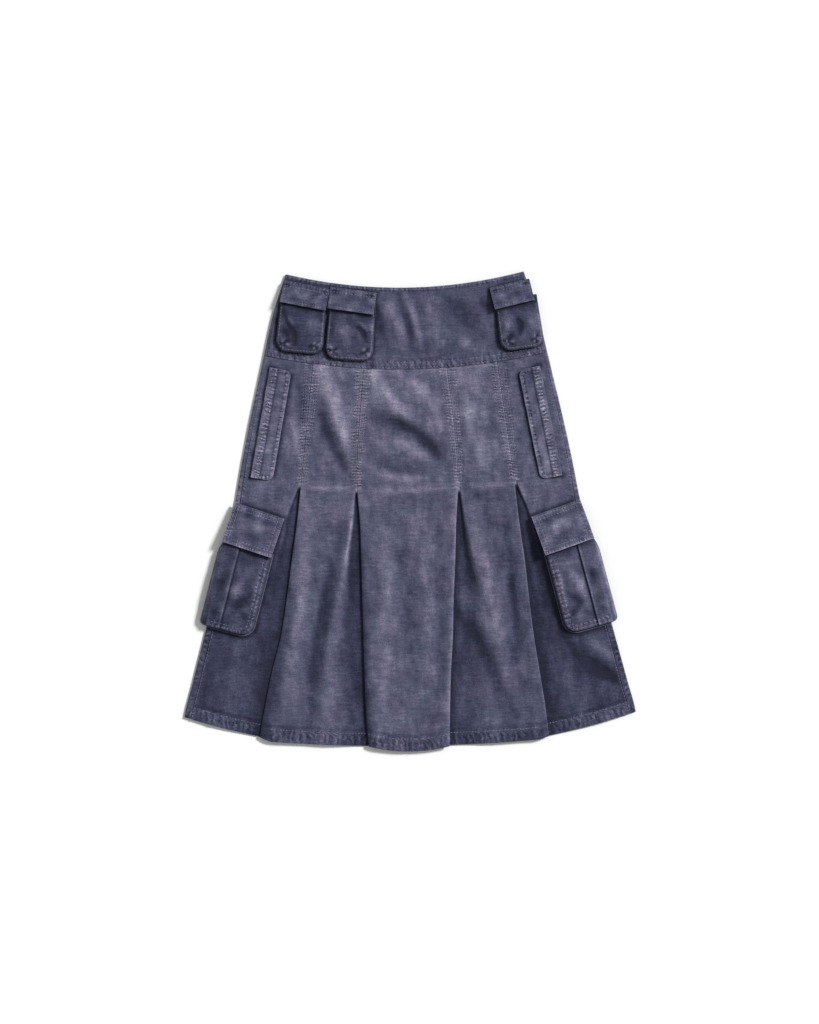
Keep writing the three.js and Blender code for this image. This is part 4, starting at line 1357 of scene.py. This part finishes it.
def small_pocket(name, spec, seed):
    width, length = spec["size"]
    shape = {**SMALL_BAG, "width": width, "length": length}
    frame_of = spec["bag"]

    def sewn_at(x, y):
        return top_under(x, y) + GAP

    lines = [bag_lines(frame_of, width, length, SMALL_BAG["corner"], 3, 14)]
    bag(
        f"{name}_small_bag", frame_of, shape, 0, sewn_at, sewn_at, lambda across: 0,
        small_bag_form(SMALL_BAG_FOLDS[name], width, length, spec["fade"], seed), "small_bag", lines,
        flap_foot(spec["flap"], spec["across"], SMALL_FLAP["depth"]),
    )
    half, depth = spec["across"] / 2, SMALL_FLAP["depth"]
    rows = [pocket_row(spec["flap"], flap_border(half, depth, 3), 2, 0.3)]
    rows += [pocket_row(spec["flap"], [(-half + 4, d), (half - 4, d)], 2.4, 0.3, 7) for d in (2.4, 7)]

    def wave(across, down):
        return 0.8 * uneven(across, down, 30, seed + 20)

    def marks(across, down):
        tacks = sum(
            np.exp(-(((across - side * (half - 6)) / 4) ** 2) - ((down - 6) / 2.2) ** 2) for side in (-1, 1)
        )
        return 0.5 * uneven(across, down, 18, seed + 21) - 2.4 * tacks

    flap(
        f"{name}_small_flap", spec["flap"], {**SMALL_FLAP, "width": spec["across"]},
        lambda x, y: np.full(np.shape(x), YOKE_FRONT_Z + YOKE_FRAME_CLOTH / 2),
        SMALL_BAG["rise"] + GAP, wave, marks, "small_flap", rows,
    )


def side_flap(name, frame_of):
    """The long narrow flap beside the hip, sewn along its outer edge."""
    width, length, corner = SIDE_FLAP["width"], SIDE_FLAP["length"], SIDE_FLAP["corner"]
    side = math.copysign(1, frame_of[0])
    down = (shares(length, 1.8, 0.6) * length)[:, None]
    into = np.clip(corner - np.minimum(down, length - down), 0, None)
    rounded = corner - np.sqrt(np.clip(corner**2 - into**2, 0, None))
    share = shares(width, 1.5, 0.6)[None, :]
    low = -width / 2 + (rounded if side > 0 else 0)
    high = width / 2 - (rounded if side < 0 else 0)
    across = mix(low, high, share) + 0 * down
    x, y = place(frame_of, across, down)
    out = width / 2 - side * across
    strip = 1 - smooth((out - 11.8) / 1.4)
    z = top_under(x, y) + GAP + SIDE_FLAP_CLOTH / 2 + 0.5 + 0.7 * strip
    z = z + 0.45 * uneven(across, down, 34, 40 + int(side))
    edge = np.minimum(np.minimum(down, length - down), (across - low) if side > 0 else (high - across))
    wear_and_painted_light = 0.8 * fading(edge, 1.5) + 0.1 * strip - 1.1 * bell(out - 13.4, 1.3)
    wear_and_painted_light += 0.35 * uneven(across, down, 24, 43 + int(side)) - 0.6 * fading(down, 30) + 0.1
    wear_and_painted_light -= 0.6 * bell(edge - 6, 1.4) * (1 - strip)
    inner = -side * (width / 2 - 4)
    outer = side * (width / 2 - 3)
    outline = [(outer, 3.5), (inner + side * 6, 3.5), (inner, 10), (inner, length - 10)]
    outline += [(inner + side * 6, length - 3.5), (outer, length - 3.5)]
    rows = [pocket_row(frame_of, outline, 2.2, 0.75, 6.5)]
    for inward in (6, 10):
        strip = side * (width / 2 - inward)
        rows.append(pocket_row(frame_of, [(strip, 3.5), (strip, length - 3.5)], 2, 0.85, 5.5))
    cloth(
        f"{name}_side_flap", x, y, z, SIDE_FLAP_CLOTH, "flap", rows, wear_and_painted_light,
    )


def cargo_pocket(name, spec, seed):
    side, frame_of = spec["side"], spec["bag"]
    width, length, corner = CARGO_BAG["width"], CARGO_BAG["length"], CARGO_BAG["corner"]
    pleat = side * CARGO_BAG["pleat_at"]

    def on_gusset(x, y):
        return top_under(x, y) + 2 * GAP + GUSSET_CLOTH

    def rim_z(x, y):
        past = np.abs(x) - half_width(y) - GAP
        return mix(on_gusset(x, y), GAP, smooth(past / CARGO_OUTER_EDGE["drop"]))

    def step_up(across):
        return CARGO_BAG["pleat_step"] * smooth((side * (across - pleat) + 0.5) / 1)

    folds = [
        ([(pleat - side * 26, 44), (pleat - side * 12, 74), (pleat - side * 8, 110)], 1.7, 7),
        ([(pleat - side * 30, 84), (pleat - side * 14, 112)], -1.8, 7),
        ([(pleat - side * 38, 40), (pleat - side * 40, 100)], 1.2, 3),
        ([(pleat + side * 8, 50), (pleat + side * 14, 92)], -1.0, 6),
        ([(-side * 30, length - 22), (-side * 16, length - 34)], -1.4, 4),
        ([(side * 26, length - 14), (side * 16, length - 30)], -1.2, 5),
    ]

    def dents(across, down):
        return soft_folds(folds, across, down) + 0.8 * uneven(across, down, 36, seed)

    def marks(across, down):
        past = side * (across - pleat)
        # A painted highlight on the raised side of the pleat's fold and a painted shadow beside it; below,
        # pale on the folds' ridges and painted shade in their troughs
        pleat_painted_light = 0.7 * bell(past - 1.4, 0.9)
        pleat_painted_light = pleat_painted_light - 1.8 * bell(past + 1.1, 1.4)
        hand = 0.45 * soft_folds(folds, across, down) + 0.24 * uneven(across, down, 20, seed + 5)
        return hand + pleat_painted_light + (0.15 if side > 0 else -0.4)

    close_by = [pleat + side * past for past in (-2, -1.4, -0.8, -0.4, 0, 0.4, 0.8, 1.4, 2)]
    lines = [
        bag_lines(frame_of, width, length, corner, inward, 26, strength=0.6, pitch=7)
        for inward in (3.4, 8.5)
    ]
    bag(
        f"{name}_cargo_bag", frame_of, CARGO_BAG, side, rim_z, on_gusset, step_up,
        (dents, marks, close_by), "pocket", lines,
        flap_foot(spec["flap"], CARGO_FLAP["width"], CARGO_FLAP["depth"]),
    )

    half, depth = CARGO_FLAP["width"] / 2, CARGO_FLAP["depth"]
    rows = []
    for inward in (3, 8):
        rows.append(pocket_row(spec["flap"], flap_border(half, depth, inward), 1.8, 0.5))
        rows.append(pocket_row(spec["flap"], [(-half + 4, inward), (half - 4, inward)], 1.8, 0.5))
    raised = [([(-24, 20), (4, 26), (26, 18)], 1.0, 9), ([(-14, 42), (18, 40)], -0.8, 8)]

    def wave(across, down):
        return soft_folds(raised, across, down) + 0.7 * uneven(across, down, 34, seed + 9)

    def worn_and_shaded(across, down):
        # Pale on the raised fold, painted shade in the trough below it; pale edges and a darker band below
        # the top
        hand = 0.45 * soft_folds(raised, across, down) + 0.3 * uneven(across, down, 22, seed + 11)
        edge = np.minimum(half - np.abs(across), depth - down)
        hand += 0.9 * fading(edge, 1.8) - 0.7 * bell(down - 13, 5)
        return hand - (0.25 if side < 0 else 0)

    flap(
        f"{name}_cargo_flap", spec["flap"], CARGO_FLAP, on_gusset,
        CARGO_BAG["rise"] + CARGO_BAG["pleat_step"], wave, worn_and_shaded, "cargo_flap", rows,
    )
    gusset(name, frame_of, -side)


def gusset(name, frame_of, inner):
    """The folded strip that shows beside and below a cargo bag."""
    width, length, corner = CARGO_BAG["width"], CARGO_BAG["length"], CARGO_BAG["corner"]
    path = []
    for share in np.linspace(0.12, 1, 44):
        path.append((width / 2, share * (length - corner), 1, 0))
    for degrees in range(6, 91, 6):
        c, s = math.cos(math.radians(degrees)), math.sin(math.radians(degrees))
        path.append((width / 2 - corner * (1 - c), length - corner * (1 - s), c, s))
    for share in np.linspace(0.03, 0.72, 22):
        path.append((width / 2 - corner - share * (width - corner), length, 0, 1))
    across, down, out_x, out_y = np.array(path).T[:, :, None]
    reach = (GUSSET["showing"] - GUSSET["width"] * shares(GUSSET["width"], 1.2, 0.4))[None, :]
    x, y = place(frame_of, inner * (across + out_x * reach), down + out_y * reach)
    roll = 0.5 * bell(GUSSET["showing"] - reach, 1.2)
    z = top_under(x, y) + GAP + GUSSET_CLOTH / 2 + roll
    wear_and_painted_light = 1.2 * fading(GUSSET["showing"] - reach, 0.9) - 0.8 + 0 * across
    x, y, z, wear_and_painted_light = to_right(-inner, x, y, z, wear_and_painted_light)
    cloth(
        f"{name}_gusset", x, y, z, GUSSET_CLOTH, "cargo_flap", [], wear_and_painted_light,
    )


def zip_tape():
    """The closed tape of the concealed zip, with its coil, between the layers of the yoke."""
    upper = level(WAIST, 0) - ZIP["below_waist"]
    y = np.linspace(upper, ZIP["lower_end"], 70)[:, None]
    x = np.linspace(-ZIP["half"], ZIP["half"], 17)[None, :]
    cloth(
        "zip_tape", x, y, np.full((70, 17), ZIP_Z), ZIP["cloth"], "tape", [], 0,
    )
    half, thread = COIL_TURN["half"] * MM, COIL_TURN["thread"] * MM
    low, high = ZIP["lower_end"] + COIL_TURN["clear"], upper - COIL_TURN["clear"]
    z = (ZIP_Z + COIL_TURN["rise"]) * MM
    places = [Matrix.Translation((0, at * MM, z)) for at in np.arange(low, high, COIL_TURN["pitch"])]
    turn = rounded_length(8, (half, thread, thread), False)
    put("zip_coil", repeated("zip_coil", turn, places), COIL)


OUTLINES = pocket_outlines()

# What stands for which part of the frame
STANDS_FOR = {
    "yoke_front": "front_yoke",
    "centre_panel": "front_centre",
    "yoke_back_left": "back_yoke_left",
    "yoke_back_right": "back_yoke_right",
    "zip_tape": "back_zip",
}
PAIRED = {
    "middle_panel": "front_middle",
    "side_panel": "front_side",
    "back": "back",
    "side_flap": "side_flap",
    "gusset": "cargo_gusset",
    "cargo_bag": "cargo_bag",
    "cargo_flap": "cargo_flap",
}
for name in ("left", "right"):
    for piece, part in PAIRED.items():
        STANDS_FOR[f"{name}_{piece}"] = f"{part}_{name}"
for name in SMALL_POCKETS:
    for piece in ("small_bag", "small_flap"):
        STANDS_FOR[f"{name}_{piece}"] = f"{piece}_{name}"

front_yoke()
centre_panel()
zip_tape()
for name, side in (("left", -1), ("right", 1)):
    back_yoke(name, side)
    middle_panel(name, side)
    side_panel(name, side)
    back_panel(name, side)
for seed, (name, spec) in enumerate(SMALL_POCKETS.items()):
    small_pocket(name, spec, 50 + seed)
for name, frame_of in SIDE_FLAPS.items():
    side_flap(name, frame_of)
for seed, (name, spec) in enumerate(CARGO_POCKETS.items()):
    cargo_pocket(name, spec, 70 + seed)
for piece, stands_for in STANDS_FOR.items():
    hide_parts(stands_for)


# The setting: a pale floor, soft light from the upper right, and a camera straight above


def setting():
    bm = bmesh.new()
    bmesh.ops.create_grid(bm, x_segments=1, y_segments=1, size=FLOOR["half"])
    bmesh.ops.translate(bm, verts=bm.verts, vec=(0, 0, -FLOOR["below"]))
    floor = linked("floor", meshed(bm, "floor"))
    pale, _, shader = material("pale floor")
    shader.inputs["Base Color"].default_value = FLOOR["colour"]
    shader.inputs["Roughness"].default_value = FLOOR["roughness"]
    floor.data.materials.append(pale)

    world = bpy.data.worlds.new("soft studio")
    world.use_nodes = True
    sky = world.node_tree.nodes["Background"]
    sky.inputs["Color"].default_value = (1, 1, 1, 1)
    sky.inputs["Strength"].default_value = SKY_STRENGTH
    bpy.context.scene.world = world

    key = bpy.data.lights.new("key", "SUN")
    key.energy = SUN["energy"]
    key.angle = math.radians(SUN["spread"])
    lamp = linked("key", key)
    lamp.location = SUN["place"]
    lamp.rotation_euler = lamp.location.to_track_quat("Z", "Y").to_euler()

    camera = linked("camera", bpy.data.cameras.new("camera"))
    camera.data.sensor_width = CAMERA["sensor"]
    camera.data.lens = CAMERA["lens"]
    camera.location = CAMERA["place"]
    camera.rotation_euler = (0, 0, CAMERA["turn"])
    bpy.context.scene.camera = camera
    bpy.context.scene.view_settings.view_transform = "Standard"


setting()
